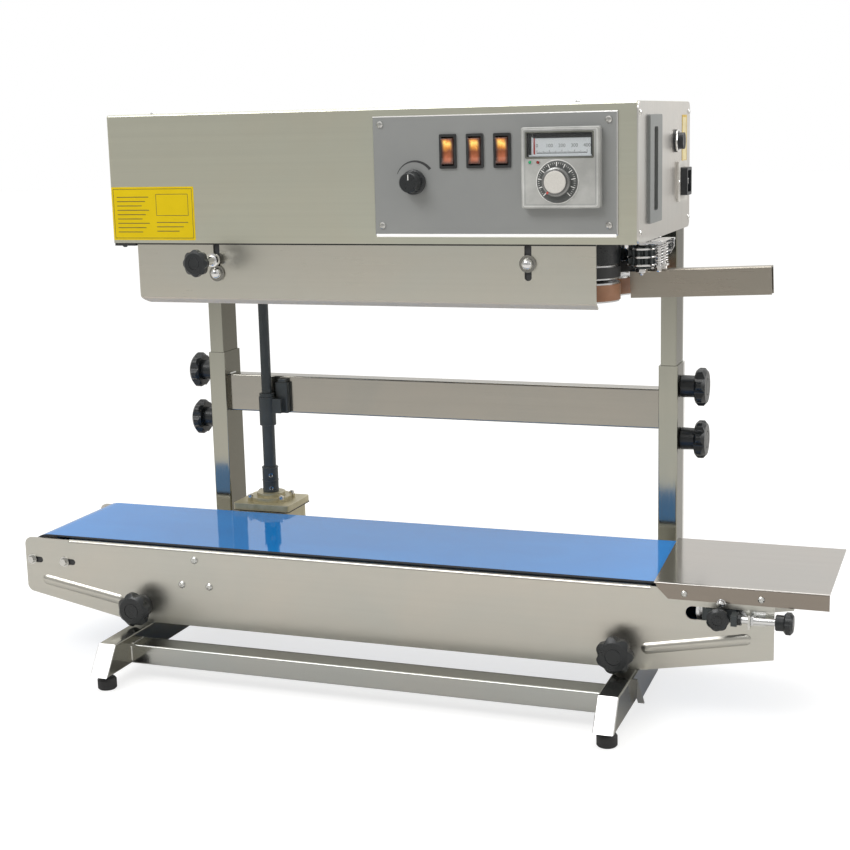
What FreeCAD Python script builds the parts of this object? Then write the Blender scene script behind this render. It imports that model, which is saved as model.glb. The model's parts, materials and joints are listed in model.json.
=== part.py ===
import FreeCAD, Part
import math
import os

# Continuous band sealer, table-top, vertical.  Millimetres, +Z up.
# The operator stands at -Y; bags travel from +X (infeed) to -X (outfeed).
# Layout coordinates: x = 0 at the head's left end, y = 0 at its front face,
# z = 0 at the floor.  Every solid is moved at the end so that the part's
# origin is the bottom centre of its bounding box.

# ---------------------------------------------------------------- driving dimensions
HEAD_L, HEAD_D, HEAD_Z0, HEAD_Z1 = 536.0, 244.0, 442.0, 568.0   # casing
SHEET = 1.5                                                      # casing and cover sheet
PANEL_X0, PANEL_X1, PANEL_Z0, PANEL_Z1, PANEL_T = 285.0, 518.0, 450.5, 560.0, 2.0
CTRL_X, CTRL_Z, CTRL_W, CTRL_OUT = 467.9, 511.1, 72.0, 10.0      # DIN 72 temperature controller
SWITCH_X, SWITCH_Z, SWITCH_W, SWITCH_H = (359.5, 385.5, 411.5), 527.0, 15.0, 30.0
SPEED_X, SPEED_Z, SPEED_R = 325.5, 499.5, 11.5

SEAL_Y = 76.0                      # sealing line
WHEEL_R, BAND_T, BAND_W, CLR = 30.0, 0.8, 15.0, 0.3
WHEEL_IN_X, WHEEL_OUT_X = 478.0, 122.0                           # 356 apart: a 900 x 15 band
WHEEL_FY, WHEEL_RY = 44.5, 107.5                                 # front and rear wheel axes
WHEEL_Z0, WHEEL_Z1, BAND_Z0 = 386.5, 404.5, 388.0
GUIDE_Z0, GUIDE_Z1 = 409.0, 419.0                                # guide belts above the bands
GEAR_M, GEAR_N, PINION_N = 1.5, 42, 14
GEAR_Z0, GEAR_Z1 = 450.0, 458.0
PRESS_X, PRESS_R = 190.0, 14.0
SHAFT_X, SHAFT_Y = 73.5, 183.6                                   # vertical drive shaft

GUARD_X0, GUARD_X1, GUARD_Z0, GUARD_Z1, GUARD_Y = 26.0, 497.0, 388.0, 453.0, 3.0
GUARD_BOLTS = ((114.0, 412.5), (433.0, 424.0))
GUARD_KNOB_X, GUARD_KNOB_Z = 114.0, 426.0

COL_W, COL_D, COL_T, COL_Y0, COL_TOP = 20.0, 40.0, 1.5, 188.0, 303.5
COL_LX, COL_RX = 0.0, 516.0
INNER_GAP = 0.3
BAR_Z0, BAR_Z1, BAR_Y0, BAR_Y1 = 236.0, 278.0, 196.0, 216.0      # crossbar between columns
LOCK_Z = (280.0, 225.0)

FOOT_Z0, FOOT_Z1, FOOT_YF, FOOT_YT, FOOT_YB = 16.0, 45.0, -96.0, -76.0, 262.0
FBAR_Y0, FBAR_D, FBAR_H = -47.0, 26.0, 20.0                      # front cross bar
CON_X0, CON_X1, CON_W = -132.0, 661.5, 154.0                     # conveyor side plates
CON_Z0, CON_Z1, CON_T = 45.0, 127.2, 2.0
BELT_Z, BELT_T, BELT_Y0, BELT_Y1 = 130.5, 2.0, 5.0, 149.0
ROLL_R, ROLL_Z, IDLE_X, TAKE_X = 24.0, 104.2, -105.0, 613.0
DRUM_R, DRUM_X, DRUM_Z = 25.0, 73.5, 97.5
TRAY_X0, TRAY_X1, TRAY_Z = 552.0, 710.0, 132.5
CLAMP_Z, CLAMP_XL, CLAMP_XR = 64.0, 10.0, 519.0
SLOT_X0, SLOT_X1, SLOT_Z, SLOT_H = 581.0, 637.0, 104.8, 12.6

OX = (CON_X0 + TRAY_X1) / 2.0
OY = (FOOT_YF + FOOT_YB) / 2.0

V = FreeCAD.Vector
os.makedirs("parts", exist_ok=True)
made = {}


# ---------------------------------------------------------------- helpers
def box(x0, x1, y0, y1, z0, z1):
    return Part.makeBox(x1 - x0, y1 - y0, z1 - z0, V(x0, y0, z0))


def cz(x, y, z0, z1, r):
    return Part.makeCylinder(r, z1 - z0, V(x, y, z0), V(0, 0, 1))


def cy(x, z, y0, y1, r):
    return Part.makeCylinder(r, y1 - y0, V(x, y0, z), V(0, 1, 0))


def cx(y, z, x0, x1, r):
    return Part.makeCylinder(r, x1 - x0, V(x0, y, z), V(1, 0, 0))


def cut(a, *bs):
    for b in bs:
        a = a.cut(b)
    return a


def fuse(a, *bs):
    a = a.multiFuse(list(bs)) if bs else a
    return a.removeSplitter()


def poly(pts, depth):
    """Closed outline of 3-D points, pushed along the vector depth."""
    w = Part.makePolygon([V(*p) for p in pts] + [V(*pts[0])])
    return Part.Face(w).extrude(V(*depth))


def fillet_where(s, r, test):
    es = [e for e in s.Edges if test(e)]
    return s.makeFillet(r, es) if es else s


def along(e, k):
    a, b = e.Vertexes[0].Point, e.Vertexes[-1].Point
    d = b - a
    if len(e.Vertexes) < 2 or d.Length < 1e-6:
        return False
    d.normalize()
    return abs([d.x, d.y, d.z][k]) > 0.999


def rbox(x0, x1, y0, y1, z0, z1, r, k):
    """Box with the four edges along axis k (0 x, 1 y, 2 z) rounded."""
    b = box(x0, x1, y0, y1, z0, z1)
    return fillet_where(b, r, lambda e: along(e, k))


def slot_y(x0, x1, z, h, y0, y1):
    """Long hole along X with round ends, through Y."""
    r = h / 2.0
    s = box(x0 + r, x1 - r, y0, y1, z - r, z + r)
    return s.fuse(cy(x0 + r, z, y0, y1, r)).fuse(cy(x1 - r, z, y0, y1, r))


def vslot_y(x, z0, z1, w, y0, y1):
    r = w / 2.0
    s = box(x - r, x + r, y0, y1, z0 + r, z1 - r)
    return s.fuse(cy(x, z0 + r, y0, y1, r)).fuse(cy(x, z1 - r, y0, y1, r))


def place(s, pos, direction):
    """Turn a shape built along +Z so that it points along direction, at pos."""
    rot = FreeCAD.Rotation(V(0, 0, 1), V(*direction))
    s = s.copy()
    s.Placement = FreeCAD.Placement(V(*pos), rot)
    return s


def lobed(r, n, depth, z0, z1, phase=0.0):
    """Prism with a smooth lobed outline."""
    pts = []
    m = n * 8
    for i in range(m):
        a = 2 * math.pi * i / m
        q = 0.5 * (1 - math.cos(n * a))
        rr = r - depth * q ** 1.6
        pts.append(V(rr * math.cos(a + phase), rr * math.sin(a + phase), z0))
    c = Part.BSplineCurve()
    c.interpolate(Points=pts, PeriodicFlag=True)
    return Part.Face(Part.Wire([c.toShape()])).extrude(V(0, 0, z1 - z0))


def revolve(profile):
    """Profile is a list of (radius, z), turned about Z."""
    w = Part.makePolygon([V(r, 0, z) for r, z in profile] + [V(profile[0][0], 0, profile[0][1])])
    return Part.Face(w).revolve(V(0, 0, 0), V(0, 0, 1), 360)


def hand_knob(r, n, rim, hub_r, hub, stud_r, stud, lobe=None):
    """Lobed hand knob.  z = 0 is the face that seats; the rim is at the far end."""
    lobe = lobe or r * 0.13
    top = hub + rim
    e = rim * 0.28
    body = lobed(r, n, lobe, hub, top)
    env = revolve([(0, hub), (r - e, hub), (r + 0.5, hub + e), (r + 0.5, top - e * 1.3), (r - e * 1.2, top - 0.25), (r * 0.45, top), (0, top)])
    body = body.common(env)
    body = body.cut(revolve([(r * 0.40, top + 1), (r * 0.46, top + 1), (r * 0.43, top - 0.9), (r * 0.40, top - 0.9)]))
    neck = revolve([(0, 0), (hub_r - 0.8, 0), (hub_r, 0.8), (hub_r * 0.97, hub + 0.5), (0, hub + 0.5)])
    s = body.fuse(neck)
    if stud > 0:
        s = s.fuse(Part.makeCylinder(stud_r, stud + 0.5, V(0, 0, -stud), V(0, 0, 1)))
    return s.removeSplitter()


def toothed(m, n, z0, z1, thick=0.40, tip=0.20, add=0.80, ded=1.20, phase=0.0):
    """Spur gear blank with trapezoid teeth, thinned for running clearance."""
    rp = m * n / 2.0
    ro, ri = rp + add * m, rp - ded * m
    pts = []
    for i in range(n):
        a = 2 * math.pi * i / n + phase
        half_p = thick * math.pi * m / 2.0 / rp
        half_t = tip * math.pi * m / 2.0 / ro
        half_b = (thick + (thick - tip) * ded / add * 0.6) * math.pi * m / 2.0 / ri
        for rr, aa in ((ri, a - half_b), (rp, a - half_p), (ro, a - half_t), (ro, a + half_t), (rp, a + half_p), (ri, a + half_b)):
            pts.append(V(rr * math.cos(aa), rr * math.sin(aa), z0))
    return Part.Face(Part.makePolygon(pts + [pts[0]])).extrude(V(0, 0, z1 - z0))


def pan_screw(x, y, z, direction, r=3.2, h=2.0, shank=6.0, sr=1.5):
    head = revolve([(0, 0), (r, 0), (r * 0.92, h * 0.45), (r * 0.62, h * 0.85), (0, h)])
    head = head.cut(Part.makeBox(r * 1.1, 0.7, 0.9, V(-r * 0.55, -0.35, h - 0.75)))
    head = head.cut(Part.makeBox(0.7, r * 1.1, 0.9, V(-0.35, -r * 0.55, h - 0.75)))
    s = head.fuse(Part.makeCylinder(sr, shank + 0.2, V(0, 0, -shank), V(0, 0, 1))) if shank > 0 else head
    return place(s, (x, y, z), direction)


def hex_bolt(x, y, z, direction, af=8.0, h=4.0, washer_r=7.5, washer_t=1.2, shank=6.0, sr=2.5):
    pts = [V(af / math.sqrt(3) * math.cos(math.radians(60 * i)), af / math.sqrt(3) * math.sin(math.radians(60 * i)), washer_t) for i in range(6)]
    hx = Part.Face(Part.makePolygon(pts + [pts[0]])).extrude(V(0, 0, h))
    s = hx.fuse(Part.makeCylinder(washer_r, washer_t)).fuse(Part.makeCylinder(sr, shank + 0.2, V(0, 0, -shank), V(0, 0, 1)))
    return place(s.removeSplitter(), (x, y, z), direction)


def save(name, *shapes):
    solids = []
    for s in shapes:
        solids += s.Solids
    c = Part.makeCompound(solids) if len(solids) > 1 else solids[0].copy()
    c.translate(V(-OX, -OY, 0))
    assert c.isValid(), name
    for q in c.Solids:
        assert q.Volume > 1, name
    c.exportStep("parts/%s.step" % name)
    made[name] = c


# ---------------------------------------------------------------- base frame
feet = []
for x0 in (COL_LX, COL_RX):
    x1 = x0 + COL_W
    f = poly([(x0, FOOT_YF, FOOT_Z0), (x0, FOOT_YB, FOOT_Z0), (x0, FOOT_YB, FOOT_Z1), (x0, FOOT_YT, FOOT_Z1)], (COL_W, 0, 0))
    f = fillet_where(f, 1.6, lambda e: along(e, 1) or (e.BoundBox.YMax < FOOT_YT + 1 and not along(e, 0)))
    core = poly([(x0 + COL_T, FOOT_YF + 6, FOOT_Z0 + COL_T), (x0 + COL_T, FOOT_YB + 1, FOOT_Z0 + COL_T),
                 (x0 + COL_T, FOOT_YB + 1, FOOT_Z1 - COL_T), (x0 + COL_T, FOOT_YT + 4, FOOT_Z1 - COL_T)], (COL_W - 2 * COL_T, 0, 0))
    feet.append(cut(f, core))
save("base_feet", *feet)

bars = []
for y0 in (FBAR_Y0, COL_Y0 + 7):
    b = rbox(COL_LX + COL_W, COL_RX, y0, y0 + FBAR_D, FOOT_Z0, FOOT_Z0 + FBAR_H, 1.6, 0)
    bars.append(cut(b, box(COL_LX + COL_W - 1, COL_RX + 1, y0 + 1.5, y0 + FBAR_D - 1.5, FOOT_Z0 + 1.5, FOOT_Z0 + FBAR_H - 1.5)))
save("base_cross_bars", *bars)

pads = []
for x in (COL_LX + 10, COL_RX + 10):
    for y in (FOOT_YF + 16, FOOT_YB - 26):
        pads.append(place(revolve([(0, 0), (8.5, 0), (9.6, 1.2), (9.6, 9.5), (8.2, 11.5), (6.0, 12.5), (6.0, FOOT_Z0), (0, FOOT_Z0)]), (x, y, 0), (0, 0, 1)))
save("rubber_feet", *pads)

cols = []
for x0 in (COL_LX, COL_RX):
    t = rbox(x0, x0 + COL_W, COL_Y0, COL_Y0 + COL_D, FOOT_Z1, COL_TOP, 1.8, 2)
    t = cut(t, box(x0 + COL_T, x0 + COL_W - COL_T, COL_Y0 + COL_T, COL_Y0 + COL_D - COL_T, FOOT_Z1 - 1, COL_TOP + 1))
    for z in LOCK_Z:
        xa = x0 - 1 if x0 == COL_LX else x0 + COL_W - 3
        t = cut(t, cx(COL_Y0 + COL_D / 2, z, xa, xa + 4, 3.06))
    cols.append(t)
save("outer_columns", *cols)

b = rbox(COL_LX + COL_W, COL_RX, BAR_Y0, BAR_Y1, BAR_Z0, BAR_Z1, 1.8, 0)
save("column_crossbar", cut(b, box(COL_LX + COL_W - 1, COL_RX + 1, BAR_Y0 + 1.5, BAR_Y1 - 1.5, BAR_Z0 + 1.5, BAR_Z1 - 1.5)))

blk = rbox(SHAFT_X + 8.3, SHAFT_X + 22.6, 188.0, BAR_Y0, BAR_Z0 + 1, BAR_Z1 - 7, 1.2, 2)
blk = fuse(blk, box(SHAFT_X + 11.5, SHAFT_X + 20.5, 189.5, BAR_Y0, BAR_Z1 - 10, BAR_Z1 - 3))
ring = cz(SHAFT_X, SHAFT_Y, 224, 256, 9.2)
arm = box(SHAFT_X + 3, SHAFT_X + 18, SHAFT_Y - 4, 190, 238, 254)
brk = fuse(blk, ring, arm)
brk = cut(brk, cz(SHAFT_X, SHAFT_Y, 223, 263, 7.26))
save("shaft_bracket", brk)

# ---------------------------------------------------------------- conveyor frame
def side_outline(y, t):
    """Side plate: level middle, both ends raised by a slanted lower edge."""
    z0, z1 = CON_Z0, CON_Z1
    pts = [(CON_X0, y, 68.5), (-10, y, z0), (541, y, z0), (CON_X1, y, 66.0), (CON_X1, y, z1), (CON_X0, y, z1)]
    s = poly(pts, (0, t, 0))
    return fillet_where(s, 8.0, lambda e: along(e, 1) and e.BoundBox.XMax < CON_X0 + 1)


def rib(xa, za, xb, zb, y, out):
    """Pressed stiffening rib with a low rounded section and rounded ends."""
    d = V(xb - xa, 0, zb - za)
    L = d.Length
    w, h = 5.4, 2.4
    r = (w * w + h * h) / (2 * h)
    yc = y - out * (r - h)
    c = Part.makeCylinder(r, L, V(xa, yc, za), d)
    c = c.fuse(Part.makeSphere(r, V(xa, yc, za))).fuse(Part.makeSphere(r, V(xb, yc, zb)))
    c = c.common(box(-400, 900, y - 3.0, y + 0.5, 0, 200) if out < 0 else box(-400, 900, y - 0.5, y + 3.0, 0, 200))
    return c


for name, ya, yb, out in (("conveyor_side_front", 0.0, CON_T, -1), ("conveyor_side_rear", CON_W - CON_T, CON_W, 1)):
    s = side_outline(ya, CON_T)
    fl, ft, rb = 12.0, 7.6, 3.4
    face = ya if out < 0 else yb
    inn = -out
    # folded top edge with a rounded bend
    yk = face + inn * rb
    corner = box(-78, 548, min(face, yk), max(face, yk), CON_Z1 - rb, CON_Z1)
    bend = Part.makeCylinder(rb, 626, V(-78, yk, CON_Z1 - rb), V(1, 0, 0)).cut(Part.makeCylinder(rb - 1.5, 628, V(-79, yk, CON_Z1 - rb), V(1, 0, 0)))
    bend = bend.common(corner)
    s = cut(s, corner)
    top = box(-78, 548, min(yk, face + inn * ft), max(yk, face + inn * ft), CON_Z1 - 1.5, CON_Z1)
    low = box(-8, 540, min(face, face + inn * fl), max(face, face + inn * fl), CON_Z0, CON_Z0 + 1.5)
    side_leg = box(-78, 548, min(face, face + inn * 1.5), max(face, face + inn * 1.5), CON_Z1 - rb - 1.0, CON_Z1 - rb)
    s = fuse(s, bend, side_leg)
    s = fuse(s, top, low, rib(-107, 81.5, -20, 66.5, face, out), rib(545, 66.5, 636, 83.5, face, out))
    for x in (-119, -79):
        s = cut(s, slot_y(x - 10, x + 8, 103.0, 6.4, ya - 3, yb + 3))
    s = cut(s, slot_y(SLOT_X0, SLOT_X1, SLOT_Z, SLOT_H, ya - 3, yb + 3))
    for x in (CLAMP_XL, CLAMP_XR):
        s = cut(s, cy(x, CLAMP_Z, ya - 3, yb + 3, 4.06))
    if out > 0:
        s = cut(s, cy(DRUM_X, DRUM_Z, ya - 3, yb + 3, 13.0))
    save(name, s)

bed = fuse(box(-76, 560, 8, 146, 126.7, 128.2), box(-76, 545, 8, 9.5, 124.2, 127), box(-76, 545, 144.5, 146, 124.2, 127),
           box(-76, 545, 3.6, 9.5, 124.2, 125.7), box(-76, 545, 144.5, 150.4, 124.2, 125.7))
save("slider_bed", bed)


def circle_tangent(c1, r1, c2, r2, side):
    """Tangent points of the outer tangent on one side of two circles (x, z)."""
    dx, dz = c2[0] - c1[0], c2[1] - c1[1]
    d = math.hypot(dx, dz)
    a = math.atan2(dz, dx)
    b = math.acos((r1 - r2) / d)
    t = a + side * b
    return ((c1[0] + r1 * math.cos(t), c1[1] + r1 * math.sin(t)), (c2[0] + r2 * math.cos(t), c2[1] + r2 * math.sin(t)), t)


def belt_loop(extra):
    """Area inside the belt, grown by extra: two end rollers and the drive drum below."""
    ca, cb, cd = (IDLE_X, ROLL_Z), (TAKE_X, ROLL_Z), (DRUM_X, DRUM_Z)
    ra, rb, rd = ROLL_R + CLR + extra, ROLL_R + CLR + extra, DRUM_R + CLR + extra
    t_top = circle_tangent(ca, ra, cb, rb, 1)
    t_l = circle_tangent(ca, ra, cd, rd, -1)
    t_r = circle_tangent(cd, rd, cb, rb, -1)
    y = BELT_Y0

    def P(q):
        return V(q[0], y, q[1])

    def on(c, r, a):
        return V(c[0] + r * math.cos(a), y, c[1] + r * math.sin(a))
    e = [Part.LineSegment(P(t_top[0]), P(t_top[1])).toShape(),
         Part.Arc(P(t_top[1]), on(cb, rb, 0.0), P(t_r[1])).toShape(),
         Part.LineSegment(P(t_r[1]), P(t_r[0])).toShape(),
         Part.Arc(P(t_r[0]), on(cd, rd, (t_r[2] + t_l[2]) / 2), P(t_l[1])).toShape(),
         Part.LineSegment(P(t_l[1]), P(t_l[0])).toShape(),
         Part.Arc(P(t_l[0]), on(ca, ra, math.pi), P(t_top[0])).toShape()]
    return Part.Face(Part.Wire(e)).extrude(V(0, BELT_Y1 - BELT_Y0, 0))


save("conveyor_belt", cut(belt_loop(BELT_T - 0.0), belt_loop(0.0)))

# ties, brackets, bearing plates and the fixed lug of the belt tensioner
br = []
for x in (150, 330, 480):
    br.append(cy(x, 58, CON_T, CON_W - CON_T, 5))
for x in (CLAMP_XL, CLAMP_XR):
    for y0 in (CON_T, CON_W - CON_T - 3):
        p = rbox(x - 10, x + 17 if x < 100 else x + 16, y0, y0 + 3, 46.5, 80, 1.4, 1)
        br.append(cut(p, cy(x, CLAMP_Z, y0 - 1, y0 + 4, 4.06)))
gus = poly([(COL_RX + COL_W, -26, 44.5), (COL_RX + COL_W, 3, 10.5), (COL_RX + COL_W, 88, 13.5), (COL_RX + COL_W, 118, 44.5)], (1.5, 0, 0))
gfl = poly([(COL_RX + COL_W, -26, 44.5), (COL_RX + COL_W, 3, 10.5), (COL_RX + COL_W, 4.6, 11.0), (COL_RX + COL_W, -23.8, 44.5)], (6, 0, 0))
br.append(fuse(gus, gfl))
lug = fuse(box(640, 654, -1.5, 0, 98, 111.5), box(640, 641.8, -15, 0, 98, 111.5))
lug = cut(lug, cx(-8.5, SLOT_Z, 639, 643, 3.06))
br.append(lug)
# bearing flanges: drive drum (three-lobed) and idle roller blocks
for (x, z, r, hole, y0, y1) in ((DRUM_X, DRUM_Z, 21, 5.06, CON_T, CON_T + 5), (DRUM_X, DRUM_Z, 21, 5.06, CON_W - CON_T - 5, CON_W - CON_T)):
    br.append(cut(cy(x, z, y0, y1, r), cy(x, z, y0 - 1, y1 + 1, hole)))
for y0 in (CON_T, CON_W - CON_T - 3):
    p = rbox(IDLE_X - 26, IDLE_X + 34, y0, y0 + 3.0, 96, 112, 3, 1)
    br.append(cut(p, cy(IDLE_X, ROLL_Z, y0 - 1, y0 + 6, 4.06)))
save("conveyor_brackets", *br)

tray = poly([(TRAY_X0, -2, TRAY_Z - 1.5), (TRAY_X1, -2, TRAY_Z - 1.5), (TRAY_X1, CON_W + 2, TRAY_Z - 1.5), (TRAY_X0 - 8, CON_W + 2, TRAY_Z - 1.5)], (0, 0, 1.5))
flf = poly([(TRAY_X0 + 1, -2, TRAY_Z - 1), (TRAY_X0 + 3, -2, 127), (TRAY_X0 + 13, -2, 117), (TRAY_X1, -2, 117), (TRAY_X1, -2, TRAY_Z - 1)], (0, 1.5, 0))
flr = poly([(TRAY_X0 + 1, -2, TRAY_Z - 1), (TRAY_X0 + 3, -2, 127), (TRAY_X0 + 13, -2, 117), (CON_X1, -2, 117), (CON_X1, -2, TRAY_Z - 1)], (0, 1.5, 0))
flr.translate(V(0, CON_W + 2.5, 0))
tray = fuse(tray, flf, flr)
tray = fillet_where(tray, 1.4, lambda e: along(e, 0) and abs(e.BoundBox.ZMax - TRAY_Z) < 0.01 and (e.BoundBox.YMax < -1.9 or e.BoundBox.YMin > CON_W + 1.9) and e.Length > 100)
for x in (580, 650):
    tray = cut(tray, cy(x, 123, -3, 1, 1.6), cy(x, 123, CON_W - 1, CON_W + 3, 1.6))
save("infeed_plate", tray)

scr = []
for (x, z) in ((72.2, 116.0), (56.4, 88.8), (88.0, 88.8)):
    scr.append(pan_screw(x, 0, z, (0, -1, 0), r=4.0, h=2.4, shank=0))
for x in (580, 650):
    scr.append(pan_screw(x, -2, 123, (0, -1, 0), r=3.2, h=2.0, shank=1.9, sr=1.55))
    scr.append(pan_screw(x, CON_W + 2, 123, (0, 1, 0), r=3.2, h=2.0, shank=1.9, sr=1.55))
for x in (-124, -84):
    scr.append(hex_bolt(x, 0, 103.0, (0, -1, 0), af=7, h=3.4, washer_r=5.4, washer_t=1.0, shank=1.9, sr=2.9))
    scr.append(hex_bolt(x, CON_W, 103.0, (0, 1, 0), af=7, h=3.4, washer_r=5.4, washer_t=1.0, shank=1.9, sr=2.9))
save("conveyor_screws", *scr)

# ---------------------------------------------------------------- conveyor moving parts
def roller(x, z, r, shaft_r, y0, y1, sy0, sy1):
    s = cut(cy(x, z, y0, y1, r), cy(x, z, y0 + 8, y1 - 8, r - 4))
    tube = cut(cy(x, z, y0, y1, r), cy(x, z, y0 - 1, y1 + 1, r - 3))
    discs = cy(x, z, y0 + 4, y0 + 10, r - 2.5).fuse(cy(x, z, y1 - 10, y1 - 4, r - 2.5))
    return fuse(tube, discs, cy(x, z, sy0, sy1, shaft_r))


drum = roller(DRUM_X, DRUM_Z, DRUM_R, 5.0, 8, 145, CON_T + 0.3, 168)
bev_h = place(revolve([(5.0, 0), (9, 0), (9, 3), (15.4, 3), (15.4, 4.5), (8.5, 11.5), (5.0, 11.5)]), (DRUM_X, SHAFT_Y - 20.5, DRUM_Z), (0, 1, 0))
shaft_h = cy(DRUM_X, DRUM_Z, 160, SHAFT_Y - 9, 5.0)
save("drive_roller", fuse(drum, shaft_h, bev_h))
save("idle_roller", roller(IDLE_X, ROLL_Z, ROLL_R, 4.0, 8, 146, CON_T + 0.4, CON_W - CON_T - 0.4))

car = []
for ya, yb in ((CON_T + 0.4, CON_T + 5.4), (CON_W - CON_T - 5.4, CON_W - CON_T - 0.4)):
    c = rbox(TAKE_X - 17, TAKE_X + 17, ya, yb, SLOT_Z - 9, SLOT_Z + 9, 2, 1)
    car.append(cut(c, cy(TAKE_X, ROLL_Z, ya - 1, yb + 1, 4.06)))
key_f = box(TAKE_X - 14, TAKE_X + 14, -1.0, CON_T + 0.9, SLOT_Z - 5.6, SLOT_Z + 5.6)
key_r = box(TAKE_X - 14, TAKE_X + 14, CON_W - CON_T - 0.9, CON_W + 1.0, SLOT_Z - 5.6, SLOT_Z + 5.6)
front = cut(fuse(car[0], key_f), cy(TAKE_X, SLOT_Z, -3, 2.8, 3.06), cy(TAKE_X, ROLL_Z, 2.8, 9, 4.06))
eye = cut(box(TAKE_X + 11.5, TAKE_X + 17, -15, -0.9, SLOT_Z - 5, SLOT_Z + 5), cx(-8.5, SLOT_Z, TAKE_X + 11, TAKE_X + 18, 3.06))
front = fuse(front, eye)
rear = cut(fuse(car[1], key_r), cy(TAKE_X, ROLL_Z, CON_W - CON_T - 7, CON_W - 2.8, 4.06))
save("takeup_carriage", front, rear)
save("takeup_roller", roller(TAKE_X, ROLL_Z, ROLL_R, 4.0, 8.5, 145.5, CON_T + 1.2, CON_W - CON_T - 1.2))

k = hand_knob(10.6, 7, 7.5, 6.4, 9.5, 3.0, 3.6, lobe=0.9)
save("takeup_clamp_knob", place(k, (TAKE_X, -1.3, SLOT_Z), (0, -1, 0)))

ts = fuse(cx(-8.5, SLOT_Z, TAKE_X + 11.5, 664.2, 3.0), cx(-8.5, SLOT_Z, TAKE_X + 17.4, TAKE_X + 20.4, 5.2),
          place(hand_knob(10.4, 12, 8.5, 7.4, 7.5, 3.0, 0, lobe=0.7), (664, -8.5, SLOT_Z), (1, 0, 0)))
save("tension_screw", ts)

k = hand_knob(18.0, 7, 13.0, 10.5, 13.5, 4.0, 4.6, lobe=3.0)
save("conveyor_knob_left", place(k, (CLAMP_XL, -0.3, CLAMP_Z), (0, -1, 0)))
save("conveyor_knob_right", place(k, (CLAMP_XR, -0.3, CLAMP_Z), (0, -1, 0)))

k = hand_knob(20.0, 7, 11.5, 11.6, 15.5, 3.0, 1.7, lobe=3.2)
for i, zz in enumerate(LOCK_Z):
    lv = ("upper", "lower")[i]
    save("lock_knob_left_" + lv, place(k, (COL_LX - 0.3, COL_Y0 + 20, zz), (-1, 0, 0)))
    save("lock_knob_right_" + lv, place(k, (COL_RX + COL_W + 0.3, COL_Y0 + 20, zz), (1, 0, 0)))

# ---------------------------------------------------------------- right-angle gearbox
gx, gy = SHAFT_X, SHAFT_Y
case = rbox(gx - 31, gx + 31, CON_W + 2, gy + 27, 70, 134, 5, 2)
case = fuse(case, rbox(gx - 34, gx + 34, CON_W, gy + 30, 131, 138.0, 4, 2), cz(gx, gy, 137.5, 143, 23), cz(gx, gy, 142.5, 147, 16), cy(gx, DRUM_Z, CON_W, CON_W + 3, 27))
case = cut(case, cz(gx, gy, 76, 130.0, 20.5), cy(gx, DRUM_Z, CON_W - 1, gy + 6, 12.0), cy(gx, DRUM_Z, CON_W + 6, gy, 18.5), cz(gx, gy, 120, 149, 8.96))
ears = []
for a in (45, 135, 225, 315):
    ears.append(cz(gx + 27 * math.cos(math.radians(a)), gy + 20 * math.sin(math.radians(a)), 137.5, 142.0, 3.4))
save("gearbox_housing", fuse(case, *ears))

bev_v = place(revolve([(0, 0), (8.5, 0), (15.4, 7.0), (15.4, 8.5), (9, 8.5), (9, 14), (0, 14)]), (gx, gy, DRUM_Z + 9.0), (0, 0, 1))
low = revolve([(0, 118), (8.9, 118), (8.9, 176), (7.0, 176), (7.0, 223.5), (7.2, 223.5), (7.2, 256.5), (8.4, 256.5), (8.4, 260), (5.7, 260), (5.7, 142), (0, 142)])
low.translate(V(gx, gy, 0))
save("lower_drive_shaft", fuse(bev_v, low))

# ---------------------------------------------------------------- head: telescopic columns
ic = []
for x0 in (COL_LX, COL_RX):
    g = COL_T + INNER_GAP
    t = rbox(x0 + g, x0 + COL_W - g, COL_Y0 + g, COL_Y0 + COL_D - g, 180, 462, 1.2, 2)
    ic.append(cut(t, box(x0 + g + 1.2, x0 + COL_W - g - 1.2, COL_Y0 + g + 1.2, COL_Y0 + COL_D - g - 1.2, 179, 463)))
save("inner_columns", *ic)

# ---------------------------------------------------------------- head: casing
sh = box(0, HEAD_L - SHEET, 0, HEAD_D, HEAD_Z0, HEAD_Z1)
sh = fillet_where(sh, 2.4, lambda e: e.BoundBox.ZMin > HEAD_Z0 + 1 and not (e.BoundBox.XMin > HEAD_L - 3) or (along(e, 2) and e.BoundBox.XMax < HEAD_L - 3))
inner = box(SHEET, HEAD_L + 1, SHEET, HEAD_D - SHEET, HEAD_Z0 - 1, HEAD_Z1 - SHEET)
inner = fillet_where(inner, 1.2, lambda e: along(e, 0) and e.BoundBox.ZMin > HEAD_Z1 - 5)
sh = cut(sh, inner)
sh = cut(sh, box(CTRL_X - 34.3, CTRL_X + 34.3, -1, 3, CTRL_Z - 34.3, CTRL_Z + 34.3))
for x in SWITCH_X:
    sh = cut(sh, box(x - 7.0, x + 7.0, -1, 3, SWITCH_Z - 14.2, SWITCH_Z + 14.2))
sh = cut(sh, cy(SPEED_X, SPEED_Z, -1, 3, 4.5))
for i in range(9):
    z = 470 + i * 9.0
    sh = cut(sh, slot_y(60, 120, z, 3.2, HEAD_D - 3, HEAD_D + 1), slot_y(300, 360, z, 3.2, HEAD_D - 3, HEAD_D + 1))
save("head_shell", sh)

sp = rbox(HEAD_L - SHEET, HEAD_L, 0.4, HEAD_D - 0.4, HEAD_Z0, HEAD_Z1 - 0.4, 7.0, 0)
sp = cut(sp, box(HEAD_L - 3, HEAD_L + 1, 52, 75, 466, 548))
sp = cut(sp, cx(168, 530, HEAD_L - 3, HEAD_L + 1, 7.0), box(HEAD_L - 3, HEAD_L + 1, 184, 208, 476, 504))
save("head_side_panel", sp)

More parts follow.
